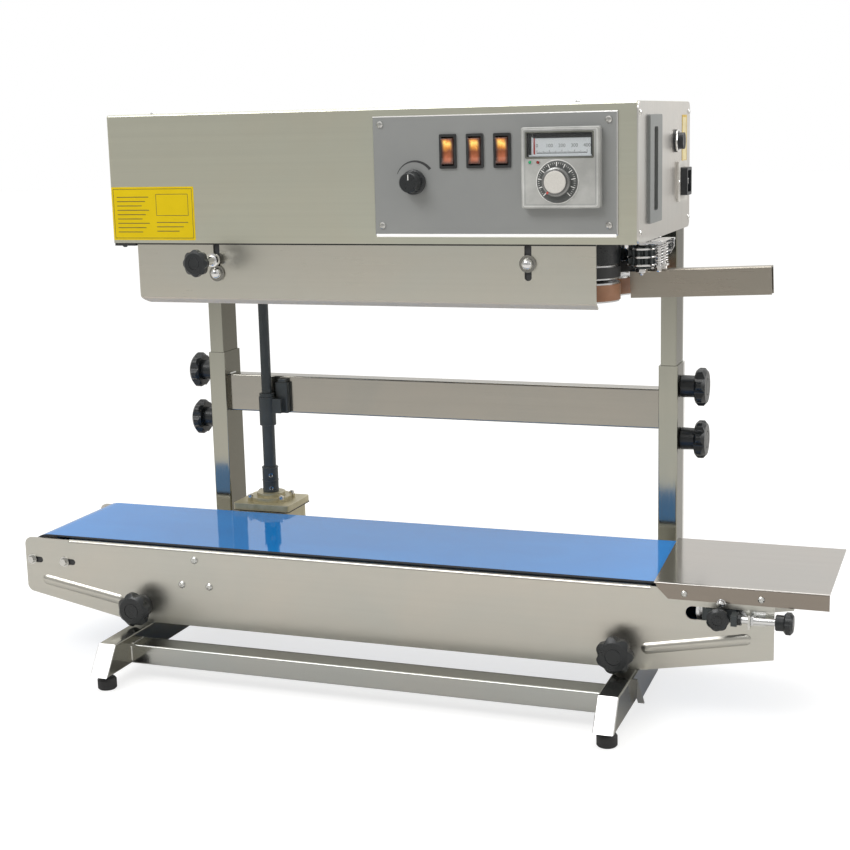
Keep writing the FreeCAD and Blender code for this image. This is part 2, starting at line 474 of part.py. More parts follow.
bp = box(SHEET, HEAD_L - SHEET, 6.0, HEAD_D - SHEET, HEAD_Z0, HEAD_Z0 + 2)
for x0 in (COL_LX, COL_RX):
    bp = cut(bp, box(x0 - 5 if x0 == 0 else x0 + 1.8, x0 + COL_W - 1.8 if x0 == 0 else x0 + COL_W + 5, COL_Y0 + 1.8, COL_Y0 + COL_D - 1.8, HEAD_Z0 - 1, HEAD_Z0 + 3))
below = []
for x in (WHEEL_IN_X, WHEEL_OUT_X):
    for y in (WHEEL_FY, WHEEL_RY):
        below.append(cut(cz(x, y, HEAD_Z0 - 12, HEAD_Z0, 11), cz(x, y, HEAD_Z0 - 13, HEAD_Z0 + 1, 5.06)))
        bp = cut(bp, cz(x, y, HEAD_Z0 - 1, HEAD_Z0 + 3, 5.06))
for y in (60.5, 91.5):
    bp = cut(bp, cz(PRESS_X, y, HEAD_Z0 - 1, HEAD_Z0 + 3, 4.06))
for y in (62.0, 90.0):
    bp = cut(bp, cz(526, y, HEAD_Z0 - 1, HEAD_Z0 + 3, 3.06))
bp = cut(bp, cz(SHAFT_X, SHAFT_Y, HEAD_Z0 - 1, HEAD_Z0 + 3, 5.66))
for x, z in GUARD_BOLTS:
    tab = box(x - 11, x + 11, 6.0, 8.0, z - 9, HEAD_Z0)
    below.append(cut(tab, cy(GUARD_KNOB_X, GUARD_KNOB_Z, 5, 9, 3.06)))
save("head_base_plate", bp, *below)

pl = rbox(HEAD_L, HEAD_L + 3, 37.5, 90, 458, 556, 2.5, 0)
pl = cut(pl, rbox(HEAD_L - 1, HEAD_L + 4, 55, 71.5, 469, 545, 2.0, 0))
save("slot_plate", pl)

# ---------------------------------------------------------------- head: control panel
cp = box(PANEL_X0, PANEL_X1, -PANEL_T, 0, PANEL_Z0, PANEL_Z1)
es = [e for e in cp.Edges if e.BoundBox.YMax < -PANEL_T + 0.01]
cp = cp.makeChamfer(0.9, es)
cp = cut(cp, box(CTRL_X - 34.3, CTRL_X + 34.3, -3, 1, CTRL_Z - 34.3, CTRL_Z + 34.3))
for x in SWITCH_X:
    cp = cut(cp, box(x - 7.0, x + 7.0, -3, 1, SWITCH_Z - 14.2, SWITCH_Z + 14.2))
cp = cut(cp, cy(SPEED_X, SPEED_Z, -3, 1, 4.5))
save("control_panel", cp)

W2 = CTRL_W / 2
tc = rbox(CTRL_X - W2, CTRL_X + W2, -PANEL_T - CTRL_OUT, -PANEL_T, CTRL_Z - W2, CTRL_Z + W2, 2.2, 1)
tc = fillet_where(tc, 1.2, lambda e: e.BoundBox.YMax < -PANEL_T - CTRL_OUT + 0.01)
tc = fuse(tc, box(CTRL_X - 33.8, CTRL_X + 33.8, -PANEL_T - 0.5, 68, CTRL_Z - 33.8, CTRL_Z + 33.8))
wx0, wx1, wz0, wz1 = CTRL_X - 31.0, CTRL_X + 30.0, CTRL_Z + 9.5, CTRL_Z + 31.0
yf = -PANEL_T - CTRL_OUT
tc = cut(tc, rbox(wx0, wx1, yf - 1, yf + 5, wz0, wz1, 1.0, 1))
DIAL_X, DIAL_Z = CTRL_X - 2.4, CTRL_Z - 12.3
tc = cut(tc, cy(DIAL_X, DIAL_Z, yf - 1, yf + 6, 3.06))
save("temperature_controller", tc)
save("controller_window", rbox(wx0 + 0.3, wx1 - 0.3, yf + 0.8, yf + 2.0, wz0 + 0.3, wz1 - 0.3, 0.8, 1))

dial = revolve([(0, 0), (18.5, 0), (18.5, 1.2), (17.6, 2.0), (13.4, 2.2), (13.2, 5.5), (11.4, 6.6), (10.6, 6.6), (10.2, 8.6), (9.4, 9.2), (0, 9.2)])
dial = dial.fuse(Part.makeCylinder(3.0, 4.5, V(0, 0, -4.2), V(0, 0, 1))).removeSplitter()
save("temperature_dial", place(dial, (DIAL_X, yf - 0.3, DIAL_Z), (0, -1, 0)))

hs = []
for x in SWITCH_X:
    h = rbox(x - SWITCH_W / 2 - 0.6, x + SWITCH_W / 2 + 0.6, -PANEL_T - 1.8, -PANEL_T, SWITCH_Z - SWITCH_H / 2 - 0.6, SWITCH_Z + SWITCH_H / 2 + 0.6, 1.2, 1)
    h = fuse(h, box(x - 6.8, x + 6.8, -PANEL_T - 0.5, 20, SWITCH_Z - 14, SWITCH_Z + 14))
    h = cut(h, box(x - 6.0, x + 6.0, -PANEL_T - 2, 4.5, SWITCH_Z - 13.2, SWITCH_Z + 13.2))
    hs.append(h)
pot = cut(fuse(cy(SPEED_X, SPEED_Z, 1.6, 12, 9), cy(SPEED_X, SPEED_Z, -PANEL_T, 2, 4.4)), cy(SPEED_X, SPEED_Z, -4, 9, 3.06))
hs.append(pot)
save("switch_housings", *hs)

rk = []
for nm, x in zip(("power", "heat", "fan"), SWITCH_X):
    # two-slope rocker cap about a cross pin; the upper half stands proud
    pr = [(-13.0, -0.3), (-12.7, -3.4), (-6.5, -1.9), (0.0, -1.8), (6.5, -2.6), (12.6, -4.9), (13.0, -1.0), (8.0, 1.4), (0, 2.6), (-8.0, 1.6)]
    s = poly([(x - 5.6, -PANEL_T + yy, SWITCH_Z + zz * 0.91) for zz, yy in pr], (11.2, 0, 0))
    s = fillet_where(s, 0.5, lambda e: along(e, 0) and e.BoundBox.YMax < -PANEL_T - 3.0)
    save("rocker_" + nm, s)

kn = revolve([(0, 0), (SPEED_R, 0), (SPEED_R, 3.0), (SPEED_R - 1.6, 4.0), (SPEED_R - 2.4, 15.0), (SPEED_R - 3.2, 16.0), (0, 16.0)])
for i in range(18):
    a = 2 * math.pi * i / 18
    kn = kn.cut(Part.makeCylinder(0.9, 14, V((SPEED_R - 1.3) * math.cos(a), (SPEED_R - 1.3) * math.sin(a), 4.2), V(0, 0, 1)))
kn = kn.fuse(Part.makeCylinder(3.0, 8.5, V(0, 0, -8.0), V(0, 0, 1)))
save("speed_knob", place(kn, (SPEED_X, -PANEL_T - 0.4, SPEED_Z), (0, -1, 0)))

fh = fuse(cx(168, 530, HEAD_L - 25, HEAD_L, 6.9), cx(168, 530, HEAD_L, HEAD_L + 2.5, 11), cx(168, 530, HEAD_L + 2, HEAD_L + 9, 8.0))
fh = cut(fh, box(HEAD_L + 7.5, HEAD_L + 10, 166.8, 169.2, 523, 537))
inl = rbox(HEAD_L, HEAD_L + 2.2, 174, 218, 470, 510, 2.5, 0)
inl = fuse(inl, rbox(HEAD_L - 24, HEAD_L + 9, 184.3, 207.7, 476.3, 503.7, 2.2, 0))
inl = cut(inl, rbox(HEAD_L - 14, HEAD_L + 10, 187.2, 204.8, 479.3, 500.7, 1.5, 0))
for (yy, zz) in ((191.5, 490), (200.5, 490), (196, 495.5)):
    inl = fuse(inl, box(HEAD_L - 15, HEAD_L + 5, yy - 1.0, yy + 1.0, zz - 2.4, zz + 2.4))
save("fuse_and_inlet", fh, inl)

# ---------------------------------------------------------------- head: sealing unit
def rear(y):
    return 2 * SEAL_Y - y


def wheel(x, y, gear=False, sprocket=False, phase=0.0, top=462.0):
    pr = [(0, WHEEL_Z0 - 2), (8, WHEEL_Z0 - 2), (8, WHEEL_Z0), (WHEEL_R - 5, WHEEL_Z0 + 1.5), (WHEEL_R - 5, WHEEL_Z0), (WHEEL_R, WHEEL_Z0), (WHEEL_R, WHEEL_Z1),
          (WHEEL_R - 5, WHEEL_Z1), (9, WHEEL_Z1 - 1.5), (9, GUIDE_Z0 - 1.5), (WHEEL_R - 0.7, GUIDE_Z0 - 1.5), (WHEEL_R - 0.7, GUIDE_Z1 + 1.5), (9, GUIDE_Z1 + 1.5), (5, GUIDE_Z1 + 1.5), (5, top), (0, top)]
    s = revolve(pr)
    if gear:
        s = s.fuse(toothed(GEAR_M, GEAR_N, GEAR_Z0, GEAR_Z1, phase=phase))
    if sprocket:
        s = s.fuse(Part.makeCylinder(18, 8, V(0, 0, 461), V(0, 0, 1)))
    return place(s.removeSplitter(), (x, y, 0), (0, 0, 1))


half = math.pi / GEAR_N
save("main_drive_wheel", wheel(WHEEL_OUT_X, WHEEL_RY, True, True, top=469))
save("wheel_outfeed_front", wheel(WHEEL_OUT_X, WHEEL_FY, True, False, phase=half))
save("wheel_infeed_front", wheel(WHEEL_IN_X, WHEEL_FY, top=452))
save("wheel_infeed_rear", wheel(WHEEL_IN_X, WHEEL_RY, top=452))


def strap(x0, x1, y, r, t, z0, z1):
    """Flat belt round two equal wheels, as its two straight runs and two turns."""
    out = [box(x0, x1, y - r - t, y - r, z0, z1), box(x0, x1, y + r, y + r + t, z0, z1)]
    for x, xa, xb in ((x0, x0 - r - t - 1, x0), (x1, x1, x1 + r + t + 1)):
        ring = cut(cz(x, y, z0, z1, r + t), cz(x, y, z0 - 1, z1 + 1, r))
        out.append(ring.common(box(xa, xb, y - r - t - 1, y + r + t + 1, z0, z1)))
    return out


bands, gbelts = [], []
for y in (WHEEL_FY, WHEEL_RY):
    bands += strap(WHEEL_OUT_X, WHEEL_IN_X, y, WHEEL_R + CLR, BAND_T, BAND_Z0, BAND_Z0 + BAND_W)
    gbelts += strap(WHEEL_OUT_X, WHEEL_IN_X, y, WHEEL_R - 0.7 + CLR, 1.5, GUIDE_Z0, GUIDE_Z1)
save("sealing_bands", *bands)


def loop2(c1, c2, r, z0, z1):
    d = V(c2[0] - c1[0], c2[1] - c1[1], 0)
    n = V(-d.y, d.x, 0)
    n.normalize()
    n = n * r
    q = [V(c1[0], c1[1], z0) + n, V(c2[0], c2[1], z0) + n, V(c2[0], c2[1], z0) - n, V(c1[0], c1[1], z0) - n]
    s = Part.Face(Part.makePolygon(q + [q[0]])).extrude(V(0, 0, z1 - z0))
    return s.fuse(cz(c1[0], c1[1], z0, z1, r)).fuse(cz(c2[0], c2[1], z0, z1, r)).removeSplitter()


tb = cut(loop2((WHEEL_OUT_X, WHEEL_RY), (SHAFT_X, SHAFT_Y), 20.1, 462, 468), loop2((WHEEL_OUT_X, WHEEL_RY), (SHAFT_X, SHAFT_Y), 18.3, 461, 469))
save("drive_belts", tb, *gbelts)

blocks = []
for (xa, xb) in ((340, 420), (240, 310)):
    for f in (0, 1):
        y0, y1 = 61.0, 74.5
        if f:
            y0, y1 = rear(y1), rear(y0)
        b = rbox(xa, xb, y0, y1, 387, 404, 2.0, 2)
        if xa < 300:
            for i in range(6):
                b = cut(b, box(xa + 8 + i * 10, xa + 11 + i * 10, y0 - 1 if not f else y0 + 5, y1 - 5 if not f else y1 + 1, 386, 401))
        for xs in (xa + 12, xb - 12):
            b = fuse(b, cz(xs, (y0 + y1) / 2, 403, HEAD_Z0, 3.0))
        blocks.append(b)
save("heating_cooling_blocks", *blocks)

for nm, y in (("front", 60.5), ("rear", 91.5)):
    pw = revolve([(0, WHEEL_Z0), (PRESS_R - 0.8, WHEEL_Z0), (PRESS_R, WHEEL_Z0 + 0.8), (PRESS_R, WHEEL_Z1 - 0.8), (PRESS_R - 0.8, WHEEL_Z1), (4, WHEEL_Z1), (4, 450), (0, 450)])
    save("press_wheel_" + nm, place(pw, (PRESS_X, y, 0), (0, 0, 1)))
for nm, y in (("front", 62.0), ("rear", 90.0)):
    t = toothed(2.0, 12, 417, 436, thick=0.5, tip=0.32, add=0.55, ded=0.9)
    t = fuse(t, Part.makeCylinder(9.0, 2, V(0, 0, 415.5), V(0, 0, 1)), Part.makeCylinder(12.2, 1.5, V(0, 0, 425.5), V(0, 0, 1)), Part.makeCylinder(3.0, 12, V(0, 0, 435), V(0, 0, 1)))
    save("infeed_roller_" + nm, place(t, (526, y, 0), (0, 0, 1)))

up = revolve([(0, 200), (5.6, 200), (5.6, 459), (18, 459), (18, 461), (18, 469), (0, 469)])
up.translate(V(SHAFT_X, SHAFT_Y, 0))
save("upper_drive_shaft", up)

px = WHEEL_OUT_X + GEAR_M * (GEAR_N + PINION_N) / 2
pin = fuse(toothed(GEAR_M, PINION_N, GEAR_Z0, GEAR_Z1, phase=math.pi / PINION_N), Part.makeCylinder(4, 20, V(0, 0, 455), V(0, 0, 1)))
save("motor_pinion", place(pin, (px, WHEEL_RY, 0), (0, 0, 1)))
mot = fuse(cz(px, WHEEL_RY, 474, 548, 31), box(px - 20, px + 66, WHEEL_RY - 30, WHEEL_RY + 30, 471, 474), box(px + 56, px + 66, WHEEL_RY - 30, WHEEL_RY + 30, HEAD_Z0 + 2, 474))
mot = cut(mot, cz(px, WHEEL_RY, 470, 478, 4.06))
save("drive_motor", mot)

# ---------------------------------------------------------------- head: cover and guide
ang = math.radians(60)
t = SHEET
gy0, gy1 = GUARD_Y, GUARD_Y + t
lip_dy, lip_dz = 7.5, 4.4
prof = [(gy0, GUARD_Z1), (gy0, GUARD_Z0), (gy0 + 1.2, GUARD_Z0 - 1.8), (gy0 + lip_dy, GUARD_Z0 - 1.8 - lip_dz), (gy0 + lip_dy + 0.75, GUARD_Z0 - 0.5 - lip_dz), (gy0 + 2.2, GUARD_Z0 - 0.2), (gy1, GUARD_Z0 + 0.8), (gy1, GUARD_Z1)]
g = poly([(GUARD_X0, y, z) for y, z in prof], (GUARD_X1 - GUARD_X0, 0, 0))
outline = poly([(GUARD_X0, -2, GUARD_Z0 - 6.3), (GUARD_X1, -2, GUARD_Z0 - 6.3), (GUARD_X1, -2, GUARD_Z1), (GUARD_X0, -2, GUARD_Z1)], (0, 20, 0))
outline = fillet_where(outline, 9.0, lambda e: along(e, 1) and e.BoundBox.XMax < GUARD_X0 + 1 and e.BoundBox.ZMax < GUARD_Z0)
g = g.common(outline)
for (x, z), z0 in zip(GUARD_BOLTS, (405.2, 408.2)):
    g = cut(g, vslot_y(x, z0, 442.5, 6.8, gy0 - 2, gy1 + 2))
save("guard_cover", g)
k = hand_knob(13.2, 8, 9.5, 4.2, 38.0, 3.0, 7.4, lobe=1.7)
k = fuse(k, revolve([(0, 30), (6.4, 30), (7.6, 31.2), (7.6, 38.5), (0, 38.5)]))
save("guard_knob", place(k, (GUARD_KNOB_X, GUARD_Y - 0.4, GUARD_KNOB_Z), (0, -1, 0)))

hsr = []
for (x, z) in ((PANEL_X0 + 8, PANEL_Z1 - 7.5), (PANEL_X1 - 8, PANEL_Z1 - 7.5), (PANEL_X0 + 8, PANEL_Z0 + 9), (PANEL_X1 - 8, PANEL_Z0 + 9)):
    hsr.append(pan_screw(x, -PANEL_T, z, (0, -1, 0), r=3.3, h=2.2, shank=0))
for x, z in GUARD_BOLTS:
    hsr.append(hex_bolt(x, GUARD_Y - 0.4, z, (0, -1, 0), af=9, h=3.8, washer_r=7.8, washer_t=1.3, shank=3.4, sr=2.8))
for (y, z) in ((8, 558), (236, 558), (8, 452), (236, 452)):
    hsr.append(pan_screw(HEAD_L, y, z, (1, 0, 0), r=2.8, h=1.6, shank=0))
save("head_screws", *hsr)

# infeed guide: inverted channel, tilted slightly up towards the infeed end
gl, gh = 131.0, 26.0
ch = box(0, gl, -7, 7, 0, gh)
ch = fillet_where(ch, 1.6, lambda e: along(e, 0) and e.BoundBox.ZMin > gh - 1)
ch = cut(ch, box(-1, gl + 1, -5.5, 5.5, -1, gh - 1.5))
ch.rotate(V(0, 0, 0), V(0, 1, 0), -2.2)
ch.translate(V(514.0, SEAL_Y, 386.5))
hang = fuse(box(516, 532, 82.0, 106, 400.0, 402.0), box(516, 532, 104, 106, 400, HEAD_Z0))
save("infeed_guide", fuse(ch, hang))

# ---------------------------------------------------------------- overall box
bb = Part.makeCompound(list(made.values())).BoundBox
print("nodes", len(made))
print("box %.1f %.1f %.1f  to  %.1f %.1f %.1f" % (bb.XMin, bb.YMin, bb.ZMin, bb.XMax, bb.YMax, bb.ZMax))
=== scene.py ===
import bpy
import bmesh
import json
import math
import random
from mathutils import Matrix, Vector


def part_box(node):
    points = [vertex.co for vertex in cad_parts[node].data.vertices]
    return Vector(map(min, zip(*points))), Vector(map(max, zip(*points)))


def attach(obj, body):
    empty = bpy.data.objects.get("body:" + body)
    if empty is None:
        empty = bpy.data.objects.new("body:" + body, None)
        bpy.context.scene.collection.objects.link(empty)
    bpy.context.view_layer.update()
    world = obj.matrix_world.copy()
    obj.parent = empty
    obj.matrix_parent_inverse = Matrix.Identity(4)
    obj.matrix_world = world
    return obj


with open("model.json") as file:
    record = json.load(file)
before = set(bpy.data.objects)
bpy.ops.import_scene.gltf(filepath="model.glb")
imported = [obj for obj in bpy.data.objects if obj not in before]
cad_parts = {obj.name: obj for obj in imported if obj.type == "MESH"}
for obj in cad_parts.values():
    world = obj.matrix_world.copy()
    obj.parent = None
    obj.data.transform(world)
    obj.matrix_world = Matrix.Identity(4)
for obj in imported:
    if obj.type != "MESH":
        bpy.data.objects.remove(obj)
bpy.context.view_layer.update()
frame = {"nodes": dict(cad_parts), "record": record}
NODES = frame["nodes"]
HLO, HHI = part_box("head_shell")
MM = 0.001
SCN = bpy.context.scene


def P(x, y, z):
    """Layout millimetres (x from the casing's left end, y from its front face) to the row frame."""
    return Vector((HLO.x + x * MM, HLO.y + y * MM, z * MM))


X, Y, Z = Vector((1, 0, 0)), Vector((0, 1, 0)), Vector((0, 0, 1))

# ------------------------------------------------------------------ camera
CAM = bpy.data.cameras.new("cam")
CAM.lens, CAM.sensor_width = 65.971, 36.0
CAM.clip_start, CAM.clip_end = 0.05, 100.0
camo = bpy.data.objects.new("cam", CAM)
SCN.collection.objects.link(camo)
cy_, cp_, cr_ = math.radians(20.286), math.radians(10.988), math.radians(1.412)
fwd = Vector((-math.sin(cy_) * math.cos(cp_), math.cos(cy_) * math.cos(cp_), -math.sin(cp_)))
rgt = Vector((math.cos(cy_), math.sin(cy_), 0))
dwn = fwd.cross(rgt)
rr = rgt * math.cos(cr_) + dwn * math.sin(cr_)
dd = dwn * math.cos(cr_) - rgt * math.sin(cr_)
m = Matrix.Identity(4)
for i in range(3):
    m[i][0], m[i][1], m[i][2] = rr[i], -dd[i], -fwd[i]
cl = P(836.61, -1371.686, 553.543)
m[0][3], m[1][3], m[2][3] = cl
camo.matrix_world = m
SCN.camera = camo
SCN.view_settings.view_transform = "Standard"
SCN.view_settings.look = "None"
SCN.view_settings.exposure = 0.0
SCN.view_settings.gamma = 1.0


# ------------------------------------------------------------------ node helpers
def new_mat(name):
    mat = bpy.data.materials.new(name)
    mat.use_nodes = True
    nt = mat.node_tree
    nt.nodes.clear()
    out = nt.nodes.new("ShaderNodeOutputMaterial")
    b = nt.nodes.new("ShaderNodeBsdfPrincipled")
    nt.links.new(b.outputs[0], out.inputs[0])
    return mat, nt, b


def nd(nt, kind, **kw):
    n = nt.nodes.new("ShaderNode" + kind)
    for k, v in kw.items():
        setattr(n, k, v)
    return n


def ln(nt, a, b):
    nt.links.new(a, b)


def math_(nt, op, a, b=None, c=None, clamp=False):
    n = nd(nt, "Math", operation=op, use_clamp=clamp)
    for i, v in enumerate((a, b, c)):
        if v is None:
            continue
        if isinstance(v, (int, float)):
            n.inputs[i].default_value = v
        else:
            ln(nt, v, n.inputs[i])
    return n.outputs[0]


def remap(nt, v, a0, a1, b0, b1):
    n = nd(nt, "MapRange")
    n.inputs[1].default_value, n.inputs[2].default_value = a0, a1
    n.inputs[3].default_value, n.inputs[4].default_value = b0, b1
    ln(nt, v, n.inputs[0])
    return n.outputs[0]


def obj_co(nt, scale=(1, 1, 1), loc=(0, 0, 0), rot=(0, 0, 0)):
    tc = nd(nt, "TexCoord")
    mp = nd(nt, "Mapping")
    mp.inputs["Scale"].default_value = scale
    mp.inputs["Location"].default_value = loc
    mp.inputs["Rotation"].default_value = rot
    ln(nt, tc.outputs["Object"], mp.inputs[0])
    return mp.outputs[0]


def noise(nt, vec, scale=1.0, detail=3.0, rough=0.55, dist=0.0):
    n = nd(nt, "TexNoise")
    n.inputs["Scale"].default_value = scale
    n.inputs["Detail"].default_value = detail
    n.inputs["Roughness"].default_value = rough
    n.inputs["Distortion"].default_value = dist
    ln(nt, vec, n.inputs["Vector"])
    return n.outputs["Fac"]


def mixc(nt, fac, a, b):
    n = nd(nt, "Mix", data_type="RGBA")
    for i, v in ((6, a), (7, b)):
        if isinstance(v, (tuple, list)):
            n.inputs[i].default_value = (*v[:3], 1)
        else:
            ln(nt, v, n.inputs[i])
    if isinstance(fac, (int, float)):
        n.inputs[0].default_value = fac
    else:
        ln(nt, fac, n.inputs[0])
    return n.outputs[2]


def bump(nt, h, strength, dist, b, normal=None):
    n = nd(nt, "Bump")
    n.inputs["Strength"].default_value = strength
    n.inputs["Distance"].default_value = dist
    ln(nt, h, n.inputs["Height"])
    if normal is not None:
        ln(nt, normal, n.inputs["Normal"])
    if b is not None:
        ln(nt, n.outputs[0], b.inputs["Normal"])
    return n.outputs[0]


def edge_mask(nt, radius):
    """1 on sharp edges, 0 on flats."""
    bv = nd(nt, "Bevel", samples=4)
    bv.inputs["Radius"].default_value = radius
    ge = nd(nt, "NewGeometry")
    dot = nd(nt, "VectorMath", operation="DOT_PRODUCT")
    ln(nt, bv.outputs[0], dot.inputs[0])
    ln(nt, ge.outputs["Normal"], dot.inputs[1])
    return remap(nt, dot.outputs["Value"], 0.995, 0.86, 0.0, 1.0)


def sc(c, k):
    return tuple(min(1.0, v * k) for v in c[:3])


def steel(name, col, rough, grain, spread=0.06, bmp=0.10, blotch=0.05, aniso=0.0, streak=0.04, metallic=1.0):
    """Stainless sheet or tube: long fine grain, soft handling blotches, small roughness changes."""
    mat, nt, b = new_mat(name)
    g = noise(nt, obj_co(nt, grain), 1.0, 2.0, 0.6)
    g2 = noise(nt, obj_co(nt, tuple(q * 0.22 for q in grain), (3.1, 1.7, 5.3)), 1.0, 3.0, 0.5)
    bl = noise(nt, obj_co(nt, (7, 7, 9), (1, 2, 3)), 1.0, 4.0, 0.55, 0.6)
    fine = noise(nt, obj_co(nt, (90, 90, 90)), 1.0, 2.0)
    c1 = mixc(nt, remap(nt, g2, 0.3, 0.7, 0, 1), sc(col, 1 - streak), sc(col, 1 + streak))
    warm = (col[0] * (1 + blotch * 0.7), col[1] * (1 - blotch * 0.1), col[2] * (1 - blotch * 0.5))
    cool = (col[0] * (1 - blotch), col[1] * (1 - blotch * 0.5), col[2] * (1 - blotch * 0.1))
    c2 = mixc(nt, remap(nt, bl, 0.32, 0.68, 0, 1), warm, cool)
    ln(nt, mixc(nt, 0.5, c1, c2), b.inputs["Base Color"])
    r = math_(nt, "ADD", remap(nt, g, 0.3, 0.7, rough - spread * 0.5, rough + spread * 0.5), remap(nt, bl, 0.3, 0.7, -spread * 0.4, spread * 0.4))
    r = math_(nt, "ADD", r, remap(nt, fine, 0.35, 0.75, 0.0, 0.02))
    ln(nt, r, b.inputs["Roughness"])
    b.inputs["Metallic"].default_value = metallic
    if aniso:
        b.inputs["Anisotropic"].default_value = aniso
        ge = nd(nt, "NewGeometry")
        cr = nd(nt, "VectorMath", operation="CROSS_PRODUCT")
        ln(nt, ge.outputs["Normal"], cr.inputs[0])
        cr.inputs[1].default_value = (0.0, 0.3, 1.0)
        ln(nt, cr.outputs[0], b.inputs["Tangent"])
    bump(nt, g, bmp, 0.00006, b)
    return mat


def plastic(name, col, rough, grain=900.0, bmp=0.15, worn=(0.16, 0.17, 0.18), wear=0.35, coat=0.0):
    """Moulded plastic with a fine spark-eroded grain and rubbed edges."""
    mat, nt, b = new_mat(name)
    g = noise(nt, obj_co(nt, (grain, grain, grain)), 1.0, 2.0, 0.6)
    d = noise(nt, obj_co(nt, (38, 38, 38), (2, 5, 1)), 1.0, 4.0, 0.6)
    e = edge_mask(nt, 0.0007)
    e = math_(nt, "MULTIPLY", e, remap(nt, d, 0.35, 0.65, 0.15, 1.0))
    c = mixc(nt, remap(nt, d, 0.3, 0.7, 0, 1), sc(col, 0.82), sc(col, 1.2))
    ln(nt, mixc(nt, math_(nt, "MULTIPLY", e, wear), c, worn), b.inputs["Base Color"])
    r = math_(nt, "ADD", remap(nt, g, 0.3, 0.7, rough - 0.05, rough + 0.05), remap(nt, d, 0.3, 0.7, -0.04, 0.06))
    ln(nt, math_(nt, "SUBTRACT", r, math_(nt, "MULTIPLY", e, 0.10)), b.inputs["Roughness"])
    if coat:
        b.inputs["Coat Weight"].default_value = coat
        b.inputs["Coat Roughness"].default_value = 0.15
    bump(nt, g, bmp, 0.00008, b)
    return mat


def box_mask(nt, lo, hi, soft=0.00005):
    """1 inside an object-space box."""
    tc = nd(nt, "TexCoord")
    s = nd(nt, "SeparateXYZ")
    ln(nt, tc.outputs["Object"], s.inputs[0])
    out = None
    for i in range(3):
        for v, sign in ((lo[i], 1), (hi[i], -1)):
            if v is None:
                continue
            q = remap(nt, s.outputs[i], v - soft * sign, v + soft * sign, 0.0, 1.0)
            out = q if out is None else math_(nt, "MULTIPLY", out, q)
    return out


M = {}
def paint_light_by_facing(mat, axis, sign, tint, rough=None, metal=None, lo=0.90, hi=0.97, mask=None):
    """Paint light or shade into the base colour of the faces that look along one axis (sign 0: both ways)."""
    nt = mat.node_tree
    b = [n for n in nt.nodes if n.bl_idname == "ShaderNodeBsdfPrincipled"][0]
    tc = nd(nt, "TexCoord")
    s3 = nd(nt, "SeparateXYZ")
    ln(nt, tc.outputs["Normal"], s3.inputs[0])
    v = s3.outputs[axis]
    v = math_(nt, "ABSOLUTE", v) if sign == 0 else (math_(nt, "MULTIPLY", v, float(sign)) if sign < 0 else v)
    f = remap(nt, v, lo, hi, 0.0, 1.0)
    if mask is not None:
        f = math_(nt, "MULTIPLY", f, mask(nt))
    src = b.inputs["Base Color"].links[0].from_socket
    mul = nd(nt, "Mix", data_type="RGBA", blend_type="MULTIPLY")
    mul.inputs[7].default_value = (*tint, 1)
    ln(nt, src, mul.inputs[6])
    ln(nt, f, mul.inputs[0])
    ln(nt, mul.outputs[2], b.inputs["Base Color"])
    if rough is not None:
        src = b.inputs["Roughness"].links[0].from_socket
        n = nd(nt, "Mix", data_type="FLOAT")
        ln(nt, f, n.inputs[0])
        ln(nt, src, n.inputs[2])
        n.inputs[3].default_value = rough
        ln(nt, n.outputs[0], b.inputs["Roughness"])
    if metal is not None:
        m0 = b.inputs["Metallic"].default_value
        ln(nt, remap(nt, f, 0, 1, m0, metal), b.inputs["Metallic"])
    return mat


M["satin_steel"] = steel("satin_steel", (0.690, 0.692, 0.580), 0.34, (9, 1300, 1300), 0.06, 0.10, 0.055, 0.55, 0.035)
M["guard_steel"] = steel("guard_steel", (0.670, 0.655, 0.580), 0.30, (9, 1300, 1300), 0.06, 0.09, 0.05, 0.5, 0.02)
# painted shade: downward-facing guard faces get a darker, pinkish base colour; they are also made rougher and less
# metallic
paint_light_by_facing(M["guard_steel"], 2, -1, (1.0, 0.93, 0.90), 0.62, 0.35, 0.25, 0.6)
M["conveyor_steel"] = steel("conveyor_steel", (0.605, 0.590, 0.535), 0.33, (5, 1100, 1100), 0.05, 0.05, 0.06, 0.6, 0.02)
M["side_steel"] = steel("side_steel", (0.720, 0.705, 0.670), 0.33, (1100, 1100, 10), 0.10, 0.12, 0.07, 0.0, 0.04)
M["bright_steel"] = steel("bright_steel", (0.400, 0.400, 0.345), 0.13, (700, 700, 8), 0.07, 0.05, 0.05, 0.0, 0.03)


def off_painted_highlight_line(nt):
    """Everything except the painted highlight line near the rear corner of the right column."""
    k = box_mask(nt, (P(530, 0, 0).x, P(0, 219.5, 0).y, None), (P(540, 0, 0).x, P(0, 226.2, 0).y, None), 0.0006)
    return math_(nt, "SUBTRACT", 1.0, k)
M["bar_steel"] = steel("bar_steel", (0.380, 0.365, 0.325), 0.15, (8, 900, 900), 0.07, 0.06, 0.05, 0.0, 0.03)
M["foot_steel"] = steel("foot_steel", (0.520, 0.520, 0.490), 0.16, (120, 9, 260), 0.06, 0.02, 0.07, 0.0, 0.03)
M["frontbar_steel"] = steel("frontbar_steel", (0.480, 0.490, 0.470), 0.15, (8, 900, 900), 0.07, 0.06, 0.06, 0.0, 0.03)
# painted shade: foot faces that look along ±X get a darker base colour
paint_light_by_facing(M["foot_steel"], 0, 0, (0.66, 0.64, 0.58))
# painted highlight: foot faces that look towards -Y, slanted ones included, get a base colour 1.8x brighter and lower
# roughness
paint_light_by_facing(M["foot_steel"], 1, -1, (1.80, 1.80, 1.90), 0.35, None, 0.45, 0.75)
M["channel_steel"] = steel("channel_steel", (0.375, 0.345, 0.295), 0.30, (9, 1100, 1100), 0.07, 0.08, 0.06, 0.0, 0.04)
M["tray_steel"] = steel("tray_steel", (0.480, 0.458, 0.430), 0.12, (8, 1000, 1000), 0.05, 0.04, 0.04, 0.0, 0.03)
